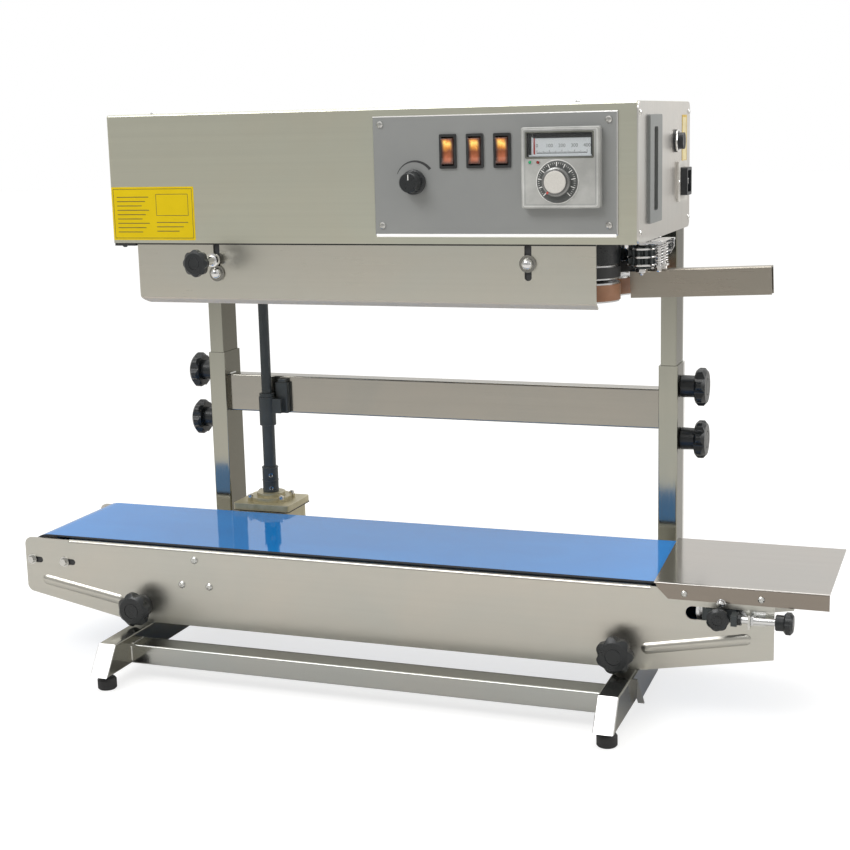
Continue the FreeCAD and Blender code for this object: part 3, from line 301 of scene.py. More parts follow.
# painted shade: tray faces that look forwards or backwards get a darker base colour
paint_light_by_facing(M["tray_steel"], 1, 0, (0.62, 0.57, 0.52))
# painted highlight: a near-white stripe on the rear corner of the right column
nt = M["bright_steel"].node_tree
b = [n for n in nt.nodes if n.bl_idname == "ShaderNodeBsdfPrincipled"][0]
k = box_mask(nt, (P(535.2, 0, 0).x, P(0, 219.5, 0).y, None), (P(537, 0, 0).x, P(0, 226.2, 0).y, None), 0.0006)
ln(nt, mixc(nt, k, b.inputs["Base Color"].links[0].from_socket, (0.93, 0.93, 0.92)), b.inputs["Base Color"])
M["zinc"] = steel("zinc", (0.66, 0.655, 0.63), 0.13, (500, 500, 500), 0.10, 0.05, 0.06)
M["washer_steel"] = steel("washer_steel", (0.30, 0.295, 0.27), 0.22, (300, 300, 300), 0.08, 0.05, 0.06)
M["aluminium"] = steel("aluminium", (0.74, 0.75, 0.76), 0.24, (60, 60, 1800), 0.08, 0.12, 0.04)
M["chrome"] = steel("chrome_piece", (0.80, 0.80, 0.80), 0.06, (300, 300, 300), 0.04, 0.02, 0.03)
# painted shade: bright-steel faces that look along ±X get a darker base colour and other roughness, except on the
# painted highlight line
paint_light_by_facing(M["bright_steel"], 0, 0, (0.40, 0.385, 0.36), 0.24, None, 0.90, 0.97, off_painted_highlight_line)
M["brass"] = steel("brass", (0.70, 0.52, 0.25), 0.28, (60, 60, 900), 0.10, 0.10, 0.08)
M["black_plastic"] = plastic("black_plastic", (0.014, 0.016, 0.0175), 0.30)
M["dark_plastic"] = plastic("dark_plastic", (0.020, 0.021, 0.022), 0.42)
# black rubber; the same material also makes the thin strip that stands in for the shadow under the casing's front edge
M["black_rubber"] = plastic("black_rubber", (0.022, 0.022, 0.023), 0.62, 500.0, 0.35, (0.07, 0.07, 0.07), 0.4)

# control panel: blue-grey paint, rubbed bright bevel
mat, nt, b = new_mat("panel_grey")
g = noise(nt, obj_co(nt, (1500, 1500, 1500)), 1.0, 2.0, 0.6)
d = noise(nt, obj_co(nt, (9, 9, 9), (4, 1, 2)), 1.0, 4.0, 0.6)
flat = nd(nt, "TexCoord")
sp = nd(nt, "SeparateXYZ")
ln(nt, flat.outputs["Normal"], sp.inputs[0])
isfront = remap(nt, math_(nt, "ABSOLUTE", sp.outputs[1]), 0.90, 0.97, 0.0, 1.0)
onside = remap(nt, math_(nt, "ABSOLUTE", sp.outputs[0]), 0.93, 0.98, 0.0, 1.0)
keep = math_(nt, "MAXIMUM", isfront, onside)
paint = mixc(nt, remap(nt, d, 0.3, 0.7, 0, 1), (0.278, 0.286, 0.284), (0.306, 0.313, 0.308))
ln(nt, mixc(nt, keep, (0.80, 0.80, 0.79), paint), b.inputs["Base Color"])
ln(nt, remap(nt, keep, 0, 1, 1.0, 0.25), b.inputs["Metallic"])
ln(nt, math_(nt, "ADD", remap(nt, keep, 0, 1, 0.16, 0.42), remap(nt, g, 0.3, 0.7, -0.05, 0.05)), b.inputs["Roughness"])
bump(nt, g, 0.12, 0.00006, b)
M["panel_grey"] = mat

# slotted plate on the side: same paint, no bare bevel
mat, nt, b = new_mat("plate_grey")
g = noise(nt, obj_co(nt, (1500, 1500, 1500)), 1.0, 2.0, 0.6)
d = noise(nt, obj_co(nt, (14, 14, 14), (4, 1, 2)), 1.0, 4.0, 0.6)
e = edge_mask(nt, 0.0005)
paint = mixc(nt, remap(nt, d, 0.3, 0.7, 0, 1), (0.225, 0.237, 0.236), (0.262, 0.272, 0.268))
ln(nt, mixc(nt, math_(nt, "MULTIPLY", e, 0.35), paint, (0.6, 0.6, 0.6)), b.inputs["Base Color"])
b.inputs["Metallic"].default_value = 0.25
ln(nt, remap(nt, g, 0.3, 0.7, 0.36, 0.48), b.inputs["Roughness"])
bump(nt, g, 0.12, 0.00006, b)
M["plate_grey"] = mat

M["controller_grey"] = plastic("controller_grey", (0.425, 0.428, 0.412), 0.40, 1300.0, 0.10, (0.62, 0.62, 0.60), 0.5)
M["frame_olive"] = plastic("frame_olive", (0.135, 0.140, 0.118), 0.42, 1300.0, 0.10, (0.4, 0.4, 0.38), 0.5)
# light grey rim material: a painted highlight for the controller's outer edge
M["rim_painted_highlight"] = plastic("rim_painted_highlight", (0.60, 0.605, 0.59), 0.35, 1300.0, 0.08, (0.7, 0.7, 0.68), 0.5)
M["white_print"] = plastic("white_print", (0.80, 0.80, 0.78), 0.45, 1500.0, 0.05, (0.9, 0.9, 0.9), 0.0)
# black print; the same material also makes dark sheets that stand in for shade: the window's top and side strips and
# the slot backings
M["black_print_and_shade"] = plastic("black_print_and_shade", (0.035, 0.036, 0.038), 0.50, 1500.0, 0.05, (0.05, 0.05, 0.05), 0.0)
M["red_print"] = plastic("red_print", (0.62, 0.06, 0.05), 0.40, 1500.0, 0.05, (0.6, 0.1, 0.1), 0.0)
# grey print; the same material also makes the thin dark line that stands in for the shadow in the controller's groove
M["grey_print_and_shadow"] = plastic("grey_print_and_shadow", (0.30, 0.31, 0.31), 0.50, 1500.0, 0.05, (0.3, 0.3, 0.3), 0.0)
M["label_print"] = plastic("label_print", (0.200, 0.150, 0.018), 0.45, 1500.0, 0.05, (0.4, 0.3, 0.0), 0.0)

# window glass
mat, nt, b = new_mat("window")
g = noise(nt, obj_co(nt, (60, 60, 60)), 1.0, 3.0)
nt.nodes.remove(b)
tr = nd(nt, "BsdfTransparent")
tr.inputs[0].default_value = (0.97, 0.98, 0.98, 1)
gl = nd(nt, "BsdfGlossy")
ln(nt, remap(nt, g, 0.3, 0.7, 0.02, 0.06), gl.inputs["Roughness"])
fr = nd(nt, "Fresnel")
fr.inputs["IOR"].default_value = 1.45
mx = nd(nt, "MixShader")
ln(nt, math_(nt, "MULTIPLY", fr.outputs[0], 0.8), mx.inputs[0])
ln(nt, tr.outputs[0], mx.inputs[1])
ln(nt, gl.outputs[0], mx.inputs[2])
ln(nt, mx.outputs[0], nt.nodes["Material Output"].inputs[0])
M["window"] = mat
# scale white: white card with a painted glow (emission), so it reads brightly lit behind the glass
mat, nt, b = new_mat("scale_white_painted_glow")
g = noise(nt, obj_co(nt, (60, 60, 60)), 1.0, 3.0)
ln(nt, mixc(nt, g, (0.80, 0.81, 0.83), (0.88, 0.88, 0.89)), b.inputs["Base Color"])
b.inputs["Emission Color"].default_value = (0.9, 0.95, 1.0, 1)
b.inputs["Emission Strength"].default_value = 0.16
ln(nt, remap(nt, g, 0.3, 0.7, 0.4, 0.5), b.inputs["Roughness"])
M["scale_white_painted_glow"] = mat

# dial: whitish cap, silver skirt, dark graduated ring
DLO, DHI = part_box("temperature_dial")
DCX, DCZ = (DLO.x + DHI.x) / 2, (DLO.z + DHI.z) / 2
mat, nt, b = new_mat("dial")
co = obj_co(nt, (1, 0, 1), (-DCX, 0, -DCZ))
le = nd(nt, "VectorMath", operation="LENGTH")
ln(nt, co, le.inputs[0])
rad = le.outputs["Value"]
ringm = remap(nt, rad, 0.01270, 0.01285, 0.0, 1.0)
capm = remap(nt, rad, 0.0098, 0.0101, 1.0, 0.0)
spun = nd(nt, "TexWave", wave_type="RINGS", rings_direction="SPHERICAL")
spun.inputs["Scale"].default_value = 900.0
ln(nt, co, spun.inputs["Vector"])
spf = spun.outputs["Fac"]
g = noise(nt, obj_co(nt, (700, 700, 700)), 1.0, 2.0)
silver = mixc(nt, spf, (0.24, 0.24, 0.235), (0.34, 0.34, 0.335))
cap = mixc(nt, remap(nt, g, 0.3, 0.7, 0, 1), (0.62, 0.60, 0.56), (0.68, 0.66, 0.62))
base = mixc(nt, capm, silver, cap)
ln(nt, mixc(nt, ringm, base, mixc(nt, g, (0.075, 0.08, 0.078), (0.11, 0.115, 0.112))), b.inputs["Base Color"])
ln(nt, math_(nt, "MULTIPLY", math_(nt, "SUBTRACT", 1.0, ringm), math_(nt, "SUBTRACT", 1.0, capm)), b.inputs["Metallic"])
ln(nt, remap(nt, spf, 0, 1, 0.26, 0.36), b.inputs["Roughness"])
bump(nt, spf, 0.1, 0.00005, b)
M["dial"] = mat

# lit amber rockers: glowing upper half, deeper lower half; the colour ramp's bright band is partly the lamp's glow and
# partly a painted highlight, and the sides and ends of each rocker get painted shade
RLO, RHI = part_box("rocker_power")
mat, nt, b = new_mat("amber")
tc = nd(nt, "TexCoord")
s3 = nd(nt, "SeparateXYZ")
ln(nt, tc.outputs["Object"], s3.inputs[0])
zz = remap(nt, s3.outputs[2], RLO.z, RHI.z, 0.0, 1.0)
wob = noise(nt, obj_co(nt, (210, 210, 130)), 1.0, 3.0, 0.6, 0.8)
zz2 = math_(nt, "ADD", zz, remap(nt, wob, 0.3, 0.7, -0.07, 0.07))
cr = nd(nt, "ValToRGB")
cr.color_ramp.elements[0].position, cr.color_ramp.elements[0].color = 0.0, (0.30, 0.075, 0.030, 1)
cr.color_ramp.elements[1].position, cr.color_ramp.elements[1].color = 1.0, (0.42, 0.13, 0.03, 1)
for pos, c in ((0.22, (0.46, 0.135, 0.060, 1)), (0.50, (0.24, 0.062, 0.016, 1)), (0.62, (0.60, 0.21, 0.02, 1)), (0.80, (1.0, 0.62, 0.14, 1)), (0.92, (0.62, 0.22, 0.03, 1))):
    el = cr.color_ramp.elements.new(pos)
    el.color = c
ln(nt, zz2, cr.inputs[0])
# mask that is 1 in the middle of each rocker; at its sides and ends the colour falls to a painted shade of dark brown
rim = None
for nm in ("rocker_power", "rocker_heat", "rocker_fan"):
    lo_, hi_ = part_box(nm)
    c_ = (lo_.x + hi_.x) / 2
    q = remap(nt, math_(nt, "ABSOLUTE", math_(nt, "SUBTRACT", s3.outputs[0], c_)), 0.0024, 0.0049, 1.0, 0.0)
    rim = q if rim is None else math_(nt, "MAXIMUM", rim, q)
rim = math_(nt, "MULTIPLY", rim, remap(nt, zz, 0.03, 0.14, 0.0, 1.0))
rim = math_(nt, "MULTIPLY", rim, remap(nt, zz, 0.90, 0.99, 1.0, 0.0))
amber_glow_and_painted_light = mixc(nt, rim, (0.060, 0.018, 0.009), cr.outputs[0])
ln(nt, amber_glow_and_painted_light, b.inputs["Base Color"])
ln(nt, amber_glow_and_painted_light, b.inputs["Emission Color"])
ln(nt, remap(nt, zz2, 0.45, 0.85, 0.10, 0.62), b.inputs["Emission Strength"])
ln(nt, remap(nt, wob, 0.3, 0.7, 0.14, 0.26), b.inputs["Roughness"])
b.inputs["Coat Weight"].default_value = 0.4
bump(nt, wob, 0.08, 0.0002, b)
M["amber"] = mat

# belt: glossy blue PVC face, black fabric on edges and inside
mat, nt, b = new_mat("belt_blue")
tc = nd(nt, "TexCoord")
s3 = nd(nt, "SeparateXYZ")
ln(nt, tc.outputs["Normal"], s3.inputs[0])
side = remap(nt, math_(nt, "ABSOLUTE", s3.outputs[1]), 0.55, 0.75, 0.0, 1.0)
wav = noise(nt, obj_co(nt, (26, 9, 26)), 1.0, 2.0, 0.45)
fin = noise(nt, obj_co(nt, (700, 700, 700)), 1.0, 2.0)
dirt = noise(nt, obj_co(nt, (11, 17, 11), (5, 2, 0)), 1.0, 5.0, 0.6, 0.5)
blue = mixc(nt, remap(nt, dirt, 0.3, 0.7, 0, 1), (0.004, 0.190, 0.560), (0.006, 0.215, 0.610))
weave = nd(nt, "TexWave", wave_type="BANDS", bands_direction="DIAGONAL")
weave.inputs["Scale"].default_value = 420.0
ln(nt, obj_co(nt), weave.inputs["Vector"])
ply = mixc(nt, weave.outputs["Fac"], (0.012, 0.014, 0.018), (0.05, 0.055, 0.065))
ln(nt, mixc(nt, side, blue, ply), b.inputs["Base Color"])
ln(nt, math_(nt, "ADD", remap(nt, side, 0, 1, 0.045, 0.6), remap(nt, dirt, 0.35, 0.75, 0.0, 0.03)), b.inputs["Roughness"])
b.inputs["IOR"].default_value = 1.52
n1 = bump(nt, wav, 0.17, 0.0016, None)
bump(nt, fin, 0.03, 0.00004, b, n1)
M["belt_blue"] = mat

# sealing band: brown PTFE-coated glass cloth
mat, nt, b = new_mat("ptfe_brown")
w1 = nd(nt, "TexWave", wave_type="BANDS", bands_direction="X")
w1.inputs["Scale"].default_value = 520.0
w2 = nd(nt, "TexWave", wave_type="BANDS", bands_direction="Z")
w2.inputs["Scale"].default_value = 520.0
vv = obj_co(nt)
ln(nt, vv, w1.inputs["Vector"])
ln(nt, vv, w2.inputs["Vector"])
wv = math_(nt, "MULTIPLY", w1.outputs["Fac"], w2.outputs["Fac"])
d = noise(nt, obj_co(nt, (40, 40, 90)), 1.0, 4.0, 0.6)
ln(nt, mixc(nt, math_(nt, "ADD", math_(nt, "MULTIPLY", wv, 0.5), remap(nt, d, 0.3, 0.7, 0, 0.5)), (0.23, 0.105, 0.055), (0.36, 0.18, 0.095)), b.inputs["Base Color"])
ln(nt, remap(nt, wv, 0, 1, 0.32, 0.5), b.inputs["Roughness"])
bump(nt, wv, 0.4, 0.00008, b)
M["ptfe_brown"] = mat

# cast gearbox: khaki enamel over a sand casting
mat, nt, b = new_mat("cast_alloy")
g = noise(nt, obj_co(nt, (420, 420, 420)), 1.0, 3.0, 0.6)
d = noise(nt, obj_co(nt, (45, 45, 45), (1, 0, 4)), 1.0, 5.0, 0.65, 0.4)
e = edge_mask(nt, 0.0012)
c = mixc(nt, remap(nt, d, 0.32, 0.68, 0, 1), (0.36, 0.32, 0.19), (0.52, 0.47, 0.32))
ln(nt, mixc(nt, math_(nt, "MULTIPLY", e, 0.5), c, (0.66, 0.62, 0.50)), b.inputs["Base Color"])
b.inputs["Metallic"].default_value = 0.45
ln(nt, remap(nt, d, 0.3, 0.7, 0.30, 0.46), b.inputs["Roughness"])
bump(nt, g, 0.35, 0.0003, b)
M["cast_alloy"] = mat

# black-oxide steel; the same material also makes the dark plate that stands in for shade behind the infeed rollers
mat, nt, b = new_mat("dark_steel")
g = noise(nt, obj_co(nt, (900, 900, 120)), 1.0, 3.0, 0.6)
d = noise(nt, obj_co(nt, (30, 30, 18), (1, 0, 4)), 1.0, 4.0, 0.6)
e = edge_mask(nt, 0.0006)
c = mixc(nt, remap(nt, d, 0.3, 0.7, 0, 1), (0.040, 0.047, 0.050), (0.070, 0.080, 0.084))
ln(nt, mixc(nt, math_(nt, "MULTIPLY", e, 0.35), c, (0.30, 0.31, 0.31)), b.inputs["Base Color"])
b.inputs["Metallic"].default_value = 0.45
ln(nt, remap(nt, d, 0.3, 0.7, 0.34, 0.46), b.inputs["Roughness"])
bump(nt, g, 0.2, 0.00008, b)
M["dark_steel"] = mat

# yellow vinyl label
mat, nt, b = new_mat("label_yellow")
d = noise(nt, obj_co(nt, (30, 30, 30)), 1.0, 4.0, 0.6)
g = noise(nt, obj_co(nt, (900, 900, 900)), 1.0, 2.0)
ln(nt, mixc(nt, remap(nt, d, 0.3, 0.7, 0, 1), (0.690, 0.500, 0.004), (0.740, 0.545, 0.006)), b.inputs["Base Color"])
b.inputs["Specular IOR Level"].default_value = 0.18
ln(nt, remap(nt, g, 0.3, 0.7, 0.30, 0.42), b.inputs["Roughness"])
bump(nt, d, 0.05, 0.0002, b)
M["label_yellow"] = mat
M["label_gold"] = plastic("label_gold", (0.62, 0.42, 0.06), 0.45, 900.0, 0.05, (0.7, 0.6, 0.4), 0.0)
M["label_pale"] = plastic("label_pale", (0.72, 0.62, 0.34), 0.45, 900.0, 0.05, (0.7, 0.6, 0.4), 0.0)

# LED lenses
for nm, c, e in (("led_green", (0.015, 0.28, 0.12), 0.10), ("led_red", (0.22, 0.012, 0.010), 0.02)):
    mat, nt, b = new_mat(nm)
    g = noise(nt, obj_co(nt, (900, 900, 900)), 1.0, 2.0)
    ln(nt, mixc(nt, g, c, sc(c, 1.4)), b.inputs["Base Color"])
    b.inputs["Emission Color"].default_value = (*c, 1)
    b.inputs["Emission Strength"].default_value = e
    ln(nt, remap(nt, g, 0, 1, 0.08, 0.2), b.inputs["Roughness"])
    M[nm] = mat

# inlet and fuse: black, with the inlet's pale flange and bright blades
ILO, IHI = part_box("fuse_and_inlet")
mat, nt, b = new_mat("inlet")
g = noise(nt, obj_co(nt, (900, 900, 900)), 1.0, 2.0, 0.6)
pale = box_mask(nt, (P(530, 0, 0).x, P(0, 173, 0).y, 0.469), (P(538.35, 0, 0).x, P(0, 219, 0).y, 0.511))
hole = box_mask(nt, (P(500, 0, 0).x, P(0, 184.2, 0).y, 0.4762), (P(560, 0, 0).x, P(0, 207.8, 0).y, 0.5038))
pale = math_(nt, "MULTIPLY", pale, math_(nt, "SUBTRACT", 1.0, hole))
blk = mixc(nt, g, (0.020, 0.022, 0.026), (0.034, 0.037, 0.042))
ln(nt, mixc(nt, pale, blk, (0.62, 0.60, 0.56)), b.inputs["Base Color"])
ln(nt, remap(nt, g, 0.3, 0.7, 0.30, 0.42), b.inputs["Roughness"])
bump(nt, g, 0.12, 0.00008, b)
M["inlet"] = mat

SLOT_OF = {s["node"]: s["material_slot"] for s in frame["record"]["subparts"]}
SPECIAL = {
    "guard_cover": "guard_steel", "conveyor_side_front": "conveyor_steel", "conveyor_side_rear": "conveyor_steel",
    "column_crossbar": "bar_steel", "base_cross_bars": "frontbar_steel", "base_feet": "foot_steel", "infeed_guide": "channel_steel", "infeed_plate": "tray_steel", "slot_plate": "plate_grey",
    "fuse_and_inlet": "inlet", "switch_housings": "dark_plastic",
}
for n, o in NODES.items():
    mt = M[SPECIAL.get(n, SLOT_OF[n])]
    if not o.material_slots:
        o.data.materials.append(mt)
    for s in o.material_slots:
        s.material = mt


# ------------------------------------------------------------------ mesh helpers
def finish_piece(bm, name, body, mat, bevel=0.0, segs=2, smooth=True, weighted=True):
    bmesh.ops.recalc_face_normals(bm, faces=bm.faces)
    me = bpy.data.meshes.new(name)
    bm.to_mesh(me)
    bm.free()
    o = bpy.data.objects.new(name, me)
    SCN.collection.objects.link(o)
    me.materials.append(M[mat])
    for p in me.polygons:
        p.use_smooth = smooth
    if smooth:
        me.set_sharp_from_angle(angle=math.radians(32))
    if bevel:
        mo = o.modifiers.new("bevel", "BEVEL")
        mo.width, mo.segments, mo.limit_method, mo.angle_limit = bevel * MM, segs, "ANGLE", math.radians(35)
        mo.harden_normals = False
    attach(o, body)
    return o


def rrect(x0, x1, z0, z1, r, n=6):
    pts = []
    for cx, cz, a0 in ((x1 - r, z1 - r, 0), (x0 + r, z1 - r, 90), (x0 + r, z0 + r, 180), (x1 - r, z0 + r, 270)):
        for i in range(n + 1):
            a = math.radians(a0 + 90 * i / n)
            pts.append((cx + r * math.cos(a), cz + r * math.sin(a)))
    return pts


def add_prism(bm, pts, f, t0, t1, inner=None):
    """pts in 2-D; f(u, v, t) gives a point. inner is an equal-length hole outline."""
    a = [bm.verts.new(f(u, v, t0)) for u, v in pts]
    c = [bm.verts.new(f(u, v, t1)) for u, v in pts]
    n = len(pts)
    for i in range(n):
        j = (i + 1) % n
        bm.faces.new((a[i], a[j], c[j], c[i]))
    if inner:
        ai = [bm.verts.new(f(u, v, t0)) for u, v in inner]
        ci = [bm.verts.new(f(u, v, t1)) for u, v in inner]
        for i in range(n):
            j = (i + 1) % n
            bm.faces.new((ai[j], ai[i], ci[i], ci[j]))
            bm.faces.new((a[j], a[i], ai[i], ai[j]))
            bm.faces.new((c[i], c[j], ci[j], ci[i]))
    else:
        bm.faces.new(list(reversed(a)))
        bm.faces.new(c)


def FXZ(u, v, t):
    return P(u, t, v)


def FYZ(u, v, t):
    return P(t, u, v)


def FXY(u, v, t):
    return P(u, v, t)


def plate(name, body, mat, outlines, f, t0, t1, bevel=0.0, inner=None):
    bm = bmesh.new()
    for pts in outlines:
        add_prism(bm, pts, f, t0, t1, inner)
    return finish_piece(bm, name, body, mat, bevel)


def frame_of(axis):
    w = Vector(axis).normalized()
    h = X if abs(w.x) < 0.9 else Y
    u = (h - w * h.dot(w)).normalized()
    return u, w.cross(u), w


def add_lathe(bm, prof, pos, axis, seg=40):
    u, v, w = frame_of(axis)
    o = P(*pos)
    rings = []
    for r, h in prof:
        if r < 1e-6:
            rings.append([bm.verts.new(o + w * h * MM)])
        else:
            rings.append([bm.verts.new(o + w * h * MM + (u * math.cos(2 * math.pi * k / seg) + v * math.sin(2 * math.pi * k / seg)) * r * MM) for k in range(seg)])
    for a, c in zip(rings, rings[1:]):
        if len(a) == 1 and len(c) == 1:
            continue
        for k in range(seg):
            q = (k + 1) % seg
            if len(a) == 1:
                bm.faces.new((a[0], c[q], c[k]))
            elif len(c) == 1:
                bm.faces.new((a[k], a[q], c[0]))
            else:
                bm.faces.new((a[k], a[q], c[q], c[k]))


def lathe(name, body, mat, items, seg=40, bevel=0.0):
    bm = bmesh.new()
    for prof, pos, axis in items:
        add_lathe(bm, prof, pos, axis, seg)
    return finish_piece(bm, name, body, mat, bevel)


def add_sweep(bm, pts, radii, seg=10, caps=True):
    pts = [P(*p) for p in pts]
    n = len(pts)
    t0 = (pts[1] - pts[0]).normalized()
    u, v, _ = frame_of(t0)
    rings = []
    for i, p in enumerate(pts):
        t = (pts[min(i + 1, n - 1)] - pts[max(i - 1, 0)]).normalized()
        u = (u - t * u.dot(t)).normalized()
        v = t.cross(u)
        r = (radii[i] if isinstance(radii, (list, tuple)) else radii) * MM
        rings.append([bm.verts.new(p + (u * math.cos(2 * math.pi * k / seg) + v * math.sin(2 * math.pi * k / seg)) * r) for k in range(seg)])
    for a, c in zip(rings, rings[1:]):
        for k in range(seg):
            q = (k + 1) % seg
            bm.faces.new((a[k], a[q], c[q], c[k]))
    if caps:
        bm.faces.new(list(reversed(rings[0])))
        bm.faces.new(rings[-1])


def sweep(name, body, mat, runs, seg=10):
    bm = bmesh.new()
    for pts, r in runs:
        add_sweep(bm, pts, r, seg)
    return finish_piece(bm, name, body, mat)


def helix(pos, axis, R, turns, length, n=16):
    u, v, w = frame_of(axis)
    out = []
    k = int(turns * n)
    for i in range(k + 1):
        a = 2 * math.pi * i / n
        t = i / k
        # closed, ground ends
        h = length * (t + 0.035 * math.sin(2 * math.pi * t) * -1)
        q = u * (R * math.cos(a)) + v * (R * math.sin(a)) + w * h
        out.append((pos[0] + q.x, pos[1] + q.y, pos[2] + q.z))
    return out


def hexagon(cx, cz, af, ph=0.0):
    r = af / math.sqrt(3)
    return [(cx + r * math.cos(math.radians(60 * i + ph)), cz + r * math.sin(math.radians(60 * i + ph))) for i in range(6)]


def bead(p0, p1, r=0.9, seed=1):
    rnd = random.Random(seed)
    a, c = Vector(p0), Vector(p1)
    L = (c - a).length
    k = max(6, int(L / 0.7))
    pts, rad = [], []
    for i in range(k + 1):
        q = a.lerp(c, i / k)
        pts.append(tuple(q))
        rad.append((0.35 if i in (0, k) else 1.0) * r * (1 + 0.14 * math.sin(i * 1.9) + rnd.uniform(-0.05, 0.05)))
    return pts, rad


# ------------------------------------------------------------------ labels and print
plate("label_front", "head", "label_yellow", [rrect(1.2, 93.5, 445.0, 497.5, 1.2)], FXZ, -0.18, 0.02)
rules = []
rnd = random.Random(7)
for i in range(9):
    z = 487.5 - i * 4.3
    rules.append(rrect(7.0, 7.0 + 36 - (i % 3) * 4.0, z - 0.45, z + 0.45, 0.2, 2))
for i in range(3):
    z = 462.5 - i * 4.3
    rules.append(rrect(51.0, 51.0 + 35 - i * 5.0, z - 0.45, z + 0.45, 0.2, 2))
plate("label_rules", "head", "label_print", rules, FXZ, -0.24, -0.16)
bm = bmesh.new()
add_prism(bm, rrect(3.0, 91.7, 446.8, 495.7, 0.8), FXZ, -0.24, -0.16, rrect(3.6, 91.1, 447.4, 495.1, 0.5))
add_prism(bm, rrect(51.0, 87.0, 469.0, 490.5, 0.8), FXZ, -0.24, -0.16, rrect(51.6, 86.4, 469.6, 489.9, 0.5))
finish_piece(bm, "label_border", "head", "label_print")
bm = bmesh.new()
add_prism(bm, rrect(201.5, 226.0, 508.0, 555.0, 1.2), FYZ, 535.98, 536.2)
finish_piece(bm, "label_side", "head", "label_pale")
bm = bmesh.new()
add_prism(bm, rrect(201.5, 226.0, 508.0, 555.0, 1.2), FYZ, 536.15, 536.28, rrect(203.9, 223.6, 510.4, 552.6, 0.8))
finish_piece(bm, "label_side_border", "head", "label_gold")

# speed scale: a wedge-shaped arc above the knob, with a small pointer on the knob
SPX, SPZ, PY = 325.5, 499.5, -2.0
bm = bmesh.new()
n = 40
outer, inner_ = [], []
for i in range(n + 1):
    t = i / n
    a = math.radians(155 - 119 * t)
    r = 18.1 + 1.6 * t
    w = 0.22 + 1.15 * t
    outer.append((SPX + (r + w) * math.cos(a), SPZ + (r + w) * math.sin(a)))
    inner_.append((SPX + (r - w) * math.cos(a), SPZ + (r - w) * math.sin(a)))
va = [[bm.verts.new(FXZ(u, v, t)) for u, v in pts] for pts in (outer, inner_) for t in (PY - 0.08, PY + 0.02)]
of, ob_, jf, jb = va
for i in range(n):
    bm.faces.new((of[i], of[i + 1], jf[i + 1], jf[i]))
    bm.faces.new((ob_[i + 1], ob_[i], jb[i], jb[i + 1]))
    bm.faces.new((of[i + 1], of[i], ob_[i], ob_[i + 1]))
    bm.faces.new((jf[i], jf[i + 1], jb[i + 1], jb[i]))
bm.faces.new((of[0], jf[0], jb[0], ob_[0]))
bm.faces.new((jf[n], of[n], ob_[n], jb[n]))
finish_piece(bm, "speed_arc_print", "head", "black_print_and_shade")
KLO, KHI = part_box("speed_knob")
ky = (KLO.y - HLO.y) / MM
plate("speed_pointer", "speed_knob", "white_print", [rrect(SPX - 0.45, SPX + 0.45, SPZ + 2.2, SPZ + 7.6, 0.4, 3)], FXZ, ky - 0.06, ky + 0.10)

PLO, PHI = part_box("control_panel")
px0, px1, pz0, pz1 = (PLO.x - HLO.x) / MM, (PHI.x - HLO.x) / MM, PLO.z / MM, PHI.z / MM
# panel bottom bevel: near-white with a painted glow (emission), standing in for the light the bevel catches
mat, nt, b = new_mat("bevel_painted_glow")
g = noise(nt, obj_co(nt, (12, 900, 900)), 1.0, 2.0)
ln(nt, mixc(nt, g, (0.86, 0.86, 0.84), (0.93, 0.93, 0.92)), b.inputs["Base Color"])
b.inputs["Metallic"].default_value = 0.25
b.inputs["Emission Color"].default_value = (1, 1, 1, 1)
b.inputs["Emission Strength"].default_value = 0.28
ln(nt, remap(nt, g, 0.3, 0.7, 0.25, 0.35), b.inputs["Roughness"])
M["bevel_painted_glow"] = mat
bm = bmesh.new()
pr = [(-2.02, pz0 + 1.1), (-2.12, pz0 + 0.6), (-1.9, pz0 - 0.7), (-1.2, pz0 - 1.7), (0.0, pz0 - 2.0), (0.0, pz0 + 1.1)]
add_prism(bm, pr, lambda u, v, t: P(t, u, v), px0 + 1.5, px1 - 1.5)
finish_piece(bm, "panel_bottom_bevel", "head", "bevel_painted_glow")
# painted shadow: a thin black strip along the joint under the casing's front edge, standing in for the contact shadow
# there
bm = bmesh.new()
add_prism(bm, [(1.7, 440.5), (2.75, 440.5), (2.75, 441.98), (1.7, 441.98)], lambda u, v, t: P(t, u, v), 26.3, 497.0)
finish_piece(bm, "casing_joint_shadow_strip", "head", "black_rubber")
# painted shade: black sheets behind the guard's slots and the conveyor end's slots, so the openings read dark
plate("guard_slot_shade_backing", "head", "black_print_and_shade", [rrect(x - 8.5, x + 8.5, 399.5, 441.6, 2.0) for x in (114.0, 433.0)], FXZ, 4.75, 5.6)
plate("end_slot_shade_backing", "base", "black_print_and_shade", [rrect(x - 13.0, x + 11.0, 97.5, 108.5, 1.0) for x in (-119.0, -79.0)], FXZ, 1.2, 1.9)

# ------------------------------------------------------------------ temperature controller
CX, CZ, CF = 467.9, 511.1, -12.0
plate("scale_card", "head", "scale_white_painted_glow", [rrect(CX - 27.6, CX + 27.4, CZ + 11.2, CZ + 27.0, 0.5)], FXZ, CF + 3.6, CF + 4.0)
# painted highlight: the window's bottom ledge uses the glowing scale white
plate("scale_bottom_ledge", "head", "scale_white_painted_glow", [rrect(CX - 29.3, CX + 28.3, CZ + 10.1, CZ + 11.4, 0.3)], FXZ, CF + 2.3, CF + 4.0, bevel=0.15)
